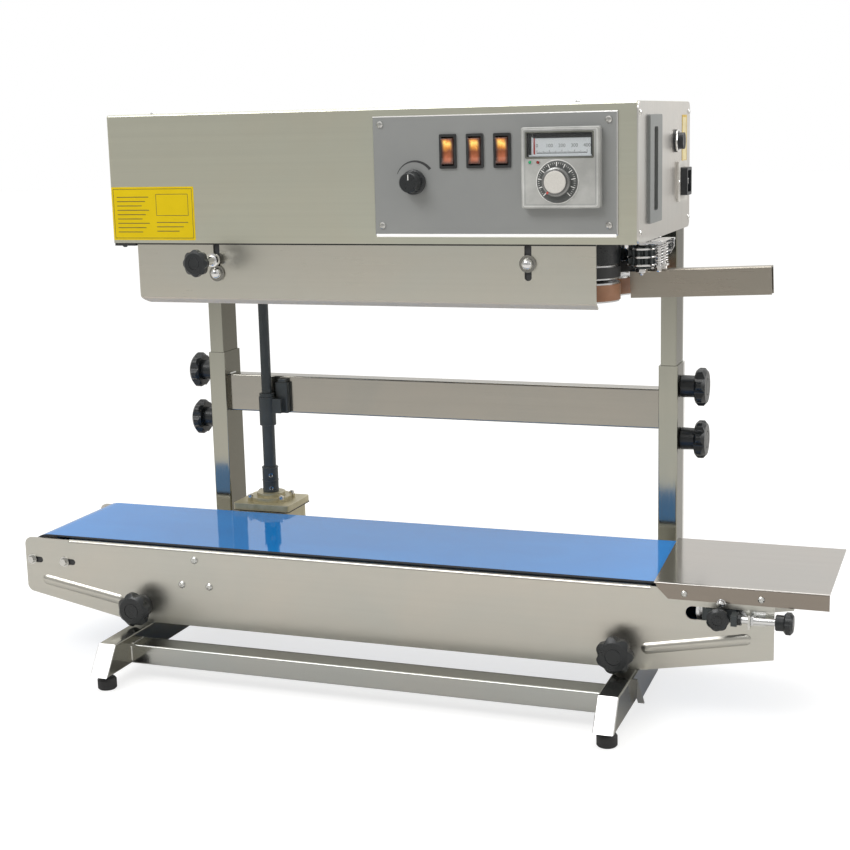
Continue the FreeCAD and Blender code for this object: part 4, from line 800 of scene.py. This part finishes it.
# painted shade: dark strips across the top and down the sides of the window
plate("scale_shade", "head", "black_print_and_shade", [rrect(CX - 25.5, CX + 28.2, CZ + 26.2, CZ + 30.2, 0.6)], FXZ, CF + 2.4, CF + 4.2, bevel=0.2)
plate("scale_side_shade", "head", "black_print_and_shade", [rrect(CX - 30.2, CX - 27.2, CZ + 10.2, CZ + 30.2, 0.4), rrect(CX + 27.6, CX + 29.2, CZ + 10.2, CZ + 30.2, 0.4)], FXZ, CF + 2.6, CF + 4.4, bevel=0.2)
ticks = []
for i in range(41):
    x = CX - 22.0 + i * 1.15
    h = 2.6 if i % 10 == 0 else (1.9 if i % 5 == 0 else 1.2)
    ticks.append(rrect(x - 0.14, x + 0.14, CZ + 13.0, CZ + 13.0 + h, 0.1, 1))
ticks.append(rrect(CX - 22.3, CX + 24.3, CZ + 12.6, CZ + 13.0, 0.1, 1))
plate("scale_ticks", "head", "black_print_and_shade", ticks, FXZ, CF + 3.5, CF + 3.65)
plate("scale_pointer", "head", "red_print", [[(CX - 25.2, CZ + 12.0), (CX - 23.6, CZ + 12.0), (CX - 23.9, CZ + 27.5), (CX - 24.9, CZ + 27.5)]], FXZ, CF + 3.0, CF + 3.3, bevel=0.08)


def digits(name, body, mat, words, size, y):
    """Plain scale numbers, flat on a surface that faces -Y. words: (text, x, z, angle)."""
    bm = bmesh.new()
    for txt, x, z, ang in words:
        cu = bpy.data.curves.new("t", "FONT")
        cu.body, cu.size, cu.align_x, cu.align_y = txt, size * MM, "CENTER", "CENTER"
        cu.extrude, cu.resolution_u = 0.00003, 3
        t = bpy.data.objects.new("t", cu)
        SCN.collection.objects.link(t)
        bpy.context.view_layer.update()
        me = bpy.data.meshes.new_from_object(t.evaluated_get(bpy.context.evaluated_depsgraph_get()))
        mx = Matrix.Translation(P(x, y, z)) @ Matrix.Rotation(math.radians(ang), 4, "Y") @ Matrix.Rotation(math.radians(90), 4, "X")
        me.transform(mx)
        bm.from_mesh(me)
        bpy.data.meshes.remove(me)
        bpy.data.objects.remove(t)
        bpy.data.curves.remove(cu)
    bmesh.ops.remove_doubles(bm, verts=bm.verts, dist=1e-7)
    return finish_piece(bm, name, body, mat)


digits("scale_numbers", "head", "grey_print_and_shadow", [(s, CX - 22.0 + i * 11.5, CZ + 19.4, 0) for i, s in enumerate(("0", "100", "200", "300", "400"))], 4.4, CF + 3.56)
bm = bmesh.new()
add_prism(bm, rrect(CX - 32.2, CX + 31.2, CZ + 8.3, CZ + 32.2, 1.4), FXZ, CF - 0.35, CF + 0.05, rrect(CX - 30.9, CX + 29.9, CZ + 9.6, CZ + 30.9, 0.9))
finish_piece(bm, "window_bezel", "head", "frame_olive", bevel=0.12)
for nm, dx, dz, mt in (("led_heating", -27.6, 5.2, "led_green"), ("led_ready", -20.2, 5.0, "led_red")):
    lathe(nm, "head", mt, [([(0, -1.1), (0.7, -1.0), (1.25, -0.6), (1.5, 0.0), (1.5, 0.3), (0, 0.3)], (CX + dx, CF, CZ + dz), (0, 1, 0))], seg=24)
lathe("led_rings", "head", "controller_grey", [([(1.5, 0.2), (1.5, -0.45), (1.7, -0.6), (2.1, -0.45), (2.2, 0.2)], (CX + dx, CF, CZ + dz), (0, 1, 0)) for dx, dz in ((-27.6, 5.2), (-20.2, 5.0))], 28)
# dial graduations on the dark ring, and a red index on the skirt
DX, DZ = (DCX - HLO.x) / MM, DCZ / MM
dyf = (DHI.y - HLO.y) / MM
ring_y = CF - 0.3 - 1.95
tk = []
for i in range(41):
    a = math.radians(225 - i * 270 / 40)
    big = i % 4 == 0
    r0, r1, w = (13.7, 17.5, 0.42) if big else (15.9, 17.3, 0.14)
    c, s_ = math.cos(a), math.sin(a)
    tk.append([(DX + r * c - q * s_, DZ + r * s_ + q * c) for r, q in ((r0, -w), (r1, -w), (r1, w), (r0, w))])
plate("dial_graduations", "temperature_dial", "white_print", tk, FXZ, CF - 0.3 - 2.28, CF - 0.3 - 1.7)
a = math.radians(232)
plate("dial_index", "temperature_dial", "red_print", [[(DX + r * math.cos(a) - q * math.sin(a), DZ + r * math.sin(a) + q * math.cos(a)) for r, q in ((10.9, -0.9), (13.0, -0.7), (13.0, 0.7), (10.9, 0.9))]], FXZ, CF - 0.3 - 6.95, CF - 0.3 - 5.2)
bm = bmesh.new()
add_prism(bm, [(DX + 19.6 * math.cos(2 * math.pi * i / 64), DZ + 19.6 * math.sin(2 * math.pi * i / 64)) for i in range(64)], FXZ, CF - 0.22, CF + 0.05,
          [(DX + 18.8 * math.cos(2 * math.pi * i / 64), DZ + 18.8 * math.sin(2 * math.pi * i / 64)) for i in range(64)])
finish_piece(bm, "dial_surround", "head", "white_print")
# painted highlight: a light grey raised ring around the controller's face, standing in for its bright rounded edge
bm = bmesh.new()
add_prism(bm, rrect(CX - 34.4, CX + 34.4, CZ - 34.4, CZ + 34.4, 1.6), FXZ, CF - 0.25, CF + 0.05, rrect(CX - 33.6, CX + 33.6, CZ - 33.6, CZ + 33.6, 1.2))
finish_piece(bm, "controller_rim", "head", "rim_painted_highlight", bevel=0.08)
# painted shadow: a thin dark line inset from the controller's edge, standing in for the shade in a groove
bm = bmesh.new()
add_prism(bm, rrect(CX - 32.6, CX + 32.6, CZ - 32.6, CZ + 32.9, 1.2), FXZ, CF - 0.06, CF + 0.05, rrect(CX - 32.15, CX + 32.15, CZ - 32.15, CZ + 32.45, 1.0))
finish_piece(bm, "controller_groove_shadow", "head", "grey_print_and_shadow")

# ------------------------------------------------------------------ inlet blades, fuse cap
blades = [rrect(yy - 1.3, yy + 1.3, zz - 2.8, zz + 2.8, 0.8, 3) for yy, zz in ((191.5, 490.0), (200.5, 490.0), (196.0, 495.8))]
plate("inlet_blades", "head", "chrome", blades, FYZ, 522.0, 543.2, bevel=0.3)
lathe("fuse_cap_rim", "head", "chrome", [([(9.4, 2.4), (9.4, 3.3), (10.3, 3.9), (11.2, 3.3), (11.2, 2.4)], (536.0, 168, 530), (1, 0, 0))], seg=36)
lathe("inlet_rivets", "head", "chrome", [([(0, 2.9), (1.0, 2.8), (1.9, 2.2), (2.1, 1.9), (0, 1.9)], (536.2, yy, 490), (1, 0, 0)) for yy in (178.8, 213.2)], 24)


def cross_screw(pos, axis, r=3.2, h=2.0):
    return [(0, h * 0.72), (r * 0.22, h * 0.72), (r * 0.26, h * 0.98), (r * 0.62, h * 0.88), (r * 0.92, h * 0.5), (r, 0.12), (r, 0.0), (0, 0.0)], pos, axis


lathe("top_cover_screws", "head", "chrome", [cross_screw((x, y, 568.0), (0, 0, 1), 3.1, 2.2) for x in (44.0, 478.0) for y in (17.0, 227.0)], 28)
lathe("rear_cover_screws", "head", "chrome", [cross_screw((x, 244.0, z), (0, 1, 0), 2.9, 1.8) for x in (20.0, 190.0, 345.0, 514.0) for z in (453.0, 557.0)], 28)
# black seal under the casing's left end and its fixing
bm = bmesh.new()
add_prism(bm, rrect(1.0, 25.0, 0.8, 5.6, 1.0, 3), FXY, 439.2, 442.0)
finish_piece(bm, "left_edge_seal", "head", "black_rubber", bevel=0.4)
lathe("left_edge_screw", "head", "dark_steel", [([(0, -4.3), (1.6, -4.2), (2.3, -3.4), (2.5, -2.7), (0, -2.6)], (11.5, 3.2, 442.0), (0, 0, 1))], 24)

# ------------------------------------------------------------------ infeed roller gear: carriers, springs, nuts, collars
for tag, y in (("front", 62.0), ("rear", 90.0)):
    bm = bmesh.new()
    circ = [(526 + 6.2 * math.cos(2 * math.pi * i / 28), y + 6.2 * math.sin(2 * math.pi * i / 28)) for i in range(28)]
    hole = [(526 + 3.3 * math.cos(2 * math.pi * i / 28), y + 3.3 * math.sin(2 * math.pi * i / 28)) for i in range(28)]
    add_prism(bm, circ, FXY, 436.6, 441.9, hole)
    finish_piece(bm, "roller_bearing_" + tag, "head", "chrome", bevel=0.5)
    body = "infeed_roller_" + tag
    nut = [hexagon(526, y, 10.0, 15)]
    plate("roller_nut_" + tag, body, "chrome", nut, FXY, 411.3, 415.4, bevel=0.7)
    lathe("roller_stud_" + tag, body, "chrome", [([(0, 408.9), (1.9, 409.0), (2.5, 409.6), (2.5, 411.4), (0, 411.4)], (526, y, 0), (0, 0, 1))], 24)
    lathe("roller_collars_" + tag, body, "chrome", [([(12.3, z), (13.35, z), (13.6, z + 0.4), (13.6, z + 1.2), (13.35, z + 1.6), (12.3, z + 1.6)], (526, y, 0), (0, 0, 1)) for z in (418.0, 425.5, 433.0)], 40)
arms = []
sweep("tension_springs", "head", "chrome", [(helix((545.0 - 1.0, 53.0 + 22 * k, 420.5), (0.0, 0.0, 1.0), 3.6, 7.5, 18.0), 0.62) for k in (0, 1)]
      + [(helix((507.5, 58.0, 437.2), (0.22, 0.97, 0.0), 2.3, 11, 34.0), 0.42)], 8)
lathe("spring_posts", "head", "chrome", [([(0, 442.0), (2.2, 442.0), (2.2, 419.5), (4.9, 419.3), (4.9, 417.2), (3.2, 416.6), (3.2, 414.0), (2.6, 413.3), (0, 413.3)], (544.0, 53.0 + 22 * k, 0), (0, 0, 1)) for k in (0, 1)], 28)
bm = bmesh.new()
add_prism(bm, rrect(511.0, 549.0, 45.5, 50.5, 1.2, 3), FXY, 438.9, 440.9)
add_prism(bm, rrect(511.0, 549.0, 101.0, 106.0, 1.2, 3), FXY, 438.9, 440.9)
add_prism(bm, rrect(538.0, 549.5, 44.5, 83.5, 1.6, 3), FXY, 440.9, 441.9)
finish_piece(bm, "spring_bracket", "head", "chrome", bevel=0.3)
plate("bracket_leg", "head", "chrome", [[(538.5, 441.0), (549.0, 441.0), (549.0, 433.0), (545.0, 426.0), (541.5, 426.0), (538.5, 430.0)]], FXZ, 100.0, 101.4, bevel=0.25)
lathe("bracket_bolts", "head", "chrome", [([(0, 433.0), (2.4, 433.2), (3.1, 434.0), (3.3, 436.2), (4.8, 436.4), (4.8, 437.4), (0, 437.4)], (x, y, 1.6), (0, 0, 1)) for x, y in ((514.0, 48.0), (514.0, 103.5), (534.5, 103.5))], 24)
# domed nuts over dark washers on the guard's two fixings
lathe("guard_washers", "head", "washer_steel", [([(5.2, -0.05), (7.7, -0.05), (8.0, 0.2), (8.0, 1.0), (5.2, 1.0)], (x, 1.2, z), (0, 1, 0)) for x, z in ((114.0, 412.5), (433.0, 424.0))], 40)
lathe("guard_dome_nuts", "head", "chrome", [([(0, -6.0), (1.6, -5.85), (3.2, -5.2), (4.5, -3.9), (5.2, -2.2), (5.45, 0.0), (5.45, 0.6), (0, 0.6)], (x, 1.3, z), (0, 1, 0)) for x, z in ((114.0, 412.5), (433.0, 424.0))], 40)
# dark plate behind the infeed rollers, a dark sheet standing in for the shade of the machine's interior there
bm = bmesh.new()
add_prism(bm, rrect(484.0, 533.0, 412.0, 441.9, 1.5, 3), FXZ, 106.6, 108.0)
finish_piece(bm, "roller_back_shade_plate", "head", "dark_steel", bevel=0.2)
# black shroud around the belt wheels, open underneath
WFX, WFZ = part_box("wheel_infeed_front")
WRX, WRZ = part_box("wheel_infeed_rear")
fx, fy = ((WFX.x + WFZ.x) / 2 - HLO.x) / MM, ((WFX.y + WFZ.y) / 2 - HLO.y) / MM
ry_ = ((WRX.y + WRZ.y) / 2 - HLO.y) / MM
rw = (WFZ.x - WFX.x) / MM / 2
bm = bmesh.new()
R0 = rw + 1.2
for sgn, cy0 in ((1, fy),):
    oa, ia = [], []
    for i in range(25):
        a = math.radians(-100 + 165 * i / 24)
        oa.append((fx + R0 * math.cos(a), cy0 + R0 * math.sin(a)))
        ia.append((fx + (R0 - 1.3) * math.cos(a), cy0 + (R0 - 1.3) * math.sin(a)))
    oa.insert(0, (fx - 30, cy0 - R0))
    ia.insert(0, (fx - 30, cy0 - R0 + 1.3))
    add_prism(bm, oa + list(reversed(ia)), FXY, 421.5, 441.9)
finish_piece(bm, "belt_shroud", "head", "black_plastic")

# springs behind the guard that press the two wheel carriers together
sweep("carrier_springs", "head", "zinc", [(helix((x, 22.0, 431.5), (0, 1, 0), 3.4, 8, 20.0), 0.55) for x in (WX for WX in (150.0, 452.0))], 8)
lathe("carrier_rods", "head", "zinc", [([(0, 17.5), (2.0, 17.8), (2.0, 44.0), (0, 44.2)], (x, 0, 431.5), (0, 1, 0)) for x in (150.0, 452.0)], 24)
plate("carrier_nuts", "head", "zinc", [hexagon(x, 431.5, 9.0, 15) for x in (150.0, 452.0)], FXZ, 17.9, 21.8, bevel=0.5)

# ------------------------------------------------------------------ columns, frame, plugs, welds
for nm, x0 in (("left", 0.0), ("right", 516.0)):
    bm = bmesh.new()
    add_prism(bm, rrect(x0 + 1.8, x0 + 18.2, 17.8, 43.2, 1.2, 3), FXZ, 255.0, 262.0)
    add_prism(bm, rrect(x0 + 0.3, x0 + 19.7, 16.3, 44.7, 1.8, 4), FXZ, 262.0, 264.6)
    finish_piece(bm, "foot_plug_" + nm, "base", "dark_plastic", bevel=0.7)
runs = []
k = 0
for (x, s) in ((20.0, 1), (516.0, -1)):
    for za, zb, ya, yb in ((236.0, 278.0, 216.0, 216.0),):
        k += 1
        runs.append(bead((x + 0.3 * s, ya, za + 2.5), (x + 0.3 * s, yb, zb - 2.5), 0.95, k))
    for z in (236.0, 278.0):
        k += 1
        runs.append(bead((x + 0.3 * s, 198.5, z), (x + 0.3 * s, 213.5, z), 0.95, k))
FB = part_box("base_cross_bars")
for (x, s) in ((20.0, 1), (516.0, -1)):
    for y0, d in ((-47.0, 26.0), (195.0, 26.0)):
        k += 1
        runs.append(bead((x + 0.3 * s, y0 + 2, 36.0), (x + 0.3 * s, y0 + d - 2, 36.0), 0.9, k))
        k += 1
        runs.append(bead((x + 0.3 * s, y0, 18.5), (x + 0.3 * s, y0, 34.5), 0.9, k))
for x0 in (0.0, 516.0):
    for ya, yb in ((188.0, 188.0), (228.0, 228.0)):
        k += 1
        runs.append(bead((x0 + 2.5, ya, 45.2), (x0 + 17.5, yb, 45.2), 0.95, k))
    for x in (x0 + 0.1, x0 + 19.9):
        k += 1
        runs.append(bead((x, 190.5, 45.2), (x, 225.5, 45.2), 0.8, k))
sweep("weld_beads", "base", "zinc", runs, 8)

# set screws in the shaft couplings
SR = 8.9
lathe("coupling_set_screws", "lower_drive_shaft", "zinc", [
    ([(0, SR - 0.8), (1.0, SR - 0.7), (1.5, SR - 0.1), (2.2, SR + 0.02), (2.4, SR - 0.4), (2.4, SR - 1.4), (0, SR - 1.4)], (73.5, 183.6, z), (math.sin(a), -math.cos(a), 0)) for z, a in ((152.0, 0.5), (167.0, 0.5), (167.0, 2.6))], 24)
lathe("coupling_seams", "lower_drive_shaft", "dark_steel", [([(SR - 0.1, z - 0.6), (SR + 0.45, z - 0.35), (SR + 0.45, z + 0.35), (SR - 0.1, z + 0.6)], (73.5, 183.6, 0), (0, 0, 1)) for z in (149.8, 160.5, 175.2)], 40)

# gearbox: cover bolts, drain plug and gasket
GX, GY = 73.5, 183.6
lathe("gearbox_bolts", "base", "zinc", [([(0, 4.0), (1.3, 4.0), (1.4, 3.2), (2.5, 3.2), (2.9, 2.8), (2.9, 0.0), (0, 0.0)], (GX + 27 * math.cos(math.radians(a)), GY + 20 * math.sin(math.radians(a)), 142.0), (0, 0, 1)) for a in (45, 135, 225, 315)], 28)
bm = bmesh.new()
add_prism(bm, rrect(GX - 34.6, GX + 34.6, 154.6, GY + 30.6, 4, 4), FXY, 130.2, 131.0, rrect(GX - 33.4, GX + 33.4, 155.9, GY + 29.4, 3.4, 4))
finish_piece(bm, "gearbox_gasket", "base", "black_rubber")
plate("gearbox_plug", "base", "brass", [hexagon(GX + 14.0, 86.0, 9.0, 0)], FXZ, GY + 27.0, GY + 31.5, bevel=0.6)

# take-up: thread on the screw, index pin above the knob
bm = bmesh.new()
pts = helix((631.5, -8.5, 104.8), (1, 0, 0), 3.0, 26, 28.0, 12)
add_sweep(bm, pts, 0.32, 6)
finish_piece(bm, "tension_thread", "tension_screw", "chrome")
lathe("takeup_rod_sleeve", "tension_screw", "chrome", [([(3.0, 634.0), (3.25, 634.0), (3.25, 663.5), (3.0, 663.5)], (0, -8.5, 104.8), (1, 0, 0))], 28)
lathe("takeup_index_pin", "base", "chrome", [([(0, -6.4), (1.6, -6.2), (2.9, -5.0), (3.3, -3.4), (3.3, -2.2), (4.4, -1.8), (4.4, -0.2), (0, 0.0)], (614.0, 0.0, 116.8), (0, 1, 0))], 32)
plate("takeup_lug_nut", "base", "chrome", [[(0 + u, v) for u, v in hexagon(-8.5, 104.8, 8.6, 0)]], FYZ, 641.9, 644.6, bevel=0.4)

# bright stem of the guard knob
lo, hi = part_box("guard_knob")
gky = (lo.y - HLO.y) / MM
lathe("guard_knob_stem", "guard_knob", "chrome", [([(4.25, gky + 17.4), (5.4, gky + 17.4), (5.6, gky + 18.2), (5.6, gky + 24.0), (5.0, gky + 24.6), (4.6, gky + 25.2), (4.6, gky + 36.5), (5.2, gky + 37.2), (6.6, gky + 37.6), (6.9, gky + 38.4), (6.9, gky + 41.2), (6.3, gky + 42.0), (4.25, gky + 42.0)], (114.0, 0, 426.0), (0, 1, 0))], 40)

# knobs: a black plastic disc in the dished centre of each knob
for nm in ("conveyor_knob_left", "conveyor_knob_right", "guard_knob", "takeup_clamp_knob"):
    lo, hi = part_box(nm)
    c = ((lo + hi) / 2 - Vector((HLO.x, HLO.y, 0))) / MM
    r = (hi.x - lo.x) / MM / 2
    yf = (lo.y - HLO.y) / MM
    lathe(nm + "_cap", nm, "black_plastic", [([(0, -0.15), (r * 0.30, -0.2), (r * 0.355, 0.0), (r * 0.36, 0.6), (0, 0.6)], (c.x, yf + 0.22, c.z), (0, 1, 0))], 40)
for side, sg in (("left", -1), ("right", 1)):
    for lv in ("upper", "lower"):
        nm = "lock_knob_%s_%s" % (side, lv)
        lo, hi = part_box(nm)
        c = ((lo + hi) / 2 - Vector((HLO.x, HLO.y, 0))) / MM
        r = (hi.y - lo.y) / MM / 2
        xf = ((lo.x if sg < 0 else hi.x) - HLO.x) / MM
        lathe(nm + "_cap", nm, "black_plastic", [([(0, -0.15), (r * 0.30, -0.2), (r * 0.355, 0.0), (r * 0.36, 0.6), (0, 0.6)], (xf - 0.22 * sg, c.y, c.z), (-sg, 0, 0))], 40)
        lathe(nm + "_washer", "base", "zinc", [([(3.4, 0.0), (8.4, 0.0), (8.4, 0.24), (3.4, 0.24)], ((0.0 if sg < 0 else 536.0), c.y, c.z), (sg, 0, 0))], 36)

# ------------------------------------------------------------------ stage, world, lights
bm = bmesh.new()
bmesh.ops.create_circle(bm, cap_ends=True, radius=14.0, segments=96)
me = bpy.data.meshes.new("floor")
bm.to_mesh(me)
bm.free()
floor = bpy.data.objects.new("floor", me)
floor.location = (0, 0, -0.0004)
SCN.collection.objects.link(floor)
mat = bpy.data.materials.new("floor_pale")
mat.use_nodes = True
nt = mat.node_tree
nt.nodes.clear()
out = nd(nt, "OutputMaterial")
lp = nd(nt, "LightPath")
g = noise(nt, obj_co(nt, (3, 3, 3)), 1.0, 2.0)
dcam = nd(nt, "BsdfDiffuse")
ln(nt, mixc(nt, g, (0.36, 0.36, 0.357), (0.37, 0.37, 0.367)), dcam.inputs[0])
em = nd(nt, "Emission")
em.inputs[0].default_value = (1, 1, 1, 1)
em.inputs[1].default_value = 0.72
add = nd(nt, "AddShader")
ln(nt, dcam.outputs[0], add.inputs[0])
ln(nt, em.outputs[0], add.inputs[1])
doth = nd(nt, "BsdfDiffuse")
doth.inputs[0].default_value = (0.60, 0.59, 0.575, 1)
mx = nd(nt, "MixShader")
ln(nt, lp.outputs["Is Camera Ray"], mx.inputs[0])
ln(nt, doth.outputs[0], mx.inputs[1])
ln(nt, add.outputs[0], mx.inputs[2])
ln(nt, mx.outputs[0], out.inputs[0])
floor.data.materials.append(mat)

w = bpy.data.worlds.new("studio")
SCN.world = w
w.use_nodes = True
nt = w.node_tree
nt.nodes.clear()
out = nd(nt, "OutputWorld")
bg = nd(nt, "Background")
bgc = nd(nt, "Background")
bgc.inputs[0].default_value = (1.0, 1.0, 1.0, 1)
mx = nd(nt, "MixShader")
lp = nd(nt, "LightPath")
ln(nt, lp.outputs["Is Camera Ray"], mx.inputs[0])
ln(nt, bg.outputs[0], mx.inputs[1])
ln(nt, bgc.outputs[0], mx.inputs[2])
ln(nt, mx.outputs[0], out.inputs[0])
tc = nd(nt, "TexCoord")
s3 = nd(nt, "SeparateXYZ")
ln(nt, tc.outputs["Generated"], s3.inputs[0])
back = remap(nt, s3.outputs[1], -0.9, 0.9, 0.50, 0.98)
az = math_(nt, "ARCTAN2", s3.outputs[1], s3.outputs[0])
wave = math_(nt, "SINE", math_(nt, "MULTIPLY", az, 5.0))
back = math_(nt, "ADD", back, math_(nt, "MULTIPLY", wave, 0.07))
up = remap(nt, s3.outputs[2], 0.15, 0.9, 0.0, 0.35)
val = math_(nt, "ADD", back, up)
cmb = nd(nt, "CombineColor")
for i, k in enumerate((1.0, 0.99, 0.965)):
    ln(nt, math_(nt, "MULTIPLY", val, k), cmb.inputs[i])
ln(nt, cmb.outputs[0], bg.inputs[0])
bg.inputs[1].default_value = 0.85


def area(name, pos, target, sx, sy, watts, col=(1, 1, 1)):
    la = bpy.data.lights.new(name, "AREA")
    la.shape, la.size, la.size_y, la.energy, la.color = "RECTANGLE", sx, sy, watts, col
    o = bpy.data.objects.new(name, la)
    SCN.collection.objects.link(o)
    o.location = pos
    o.rotation_mode = "QUATERNION"
    o.rotation_quaternion = (Vector(target) - Vector(pos)).to_track_quat("-Z", "Y")
    return o


area("key", (-0.9, -1.7, 2.3), (0, 0, 0.25), 1.7, 1.1, 34)
area("top", (0.2, 0.5, 2.6), (0, 0, 0.2), 2.2, 1.4, 26)
area("right", (2.3, 0.5, 1.3), (0.1, 0, 0.35), 1.2, 1.5, 16)
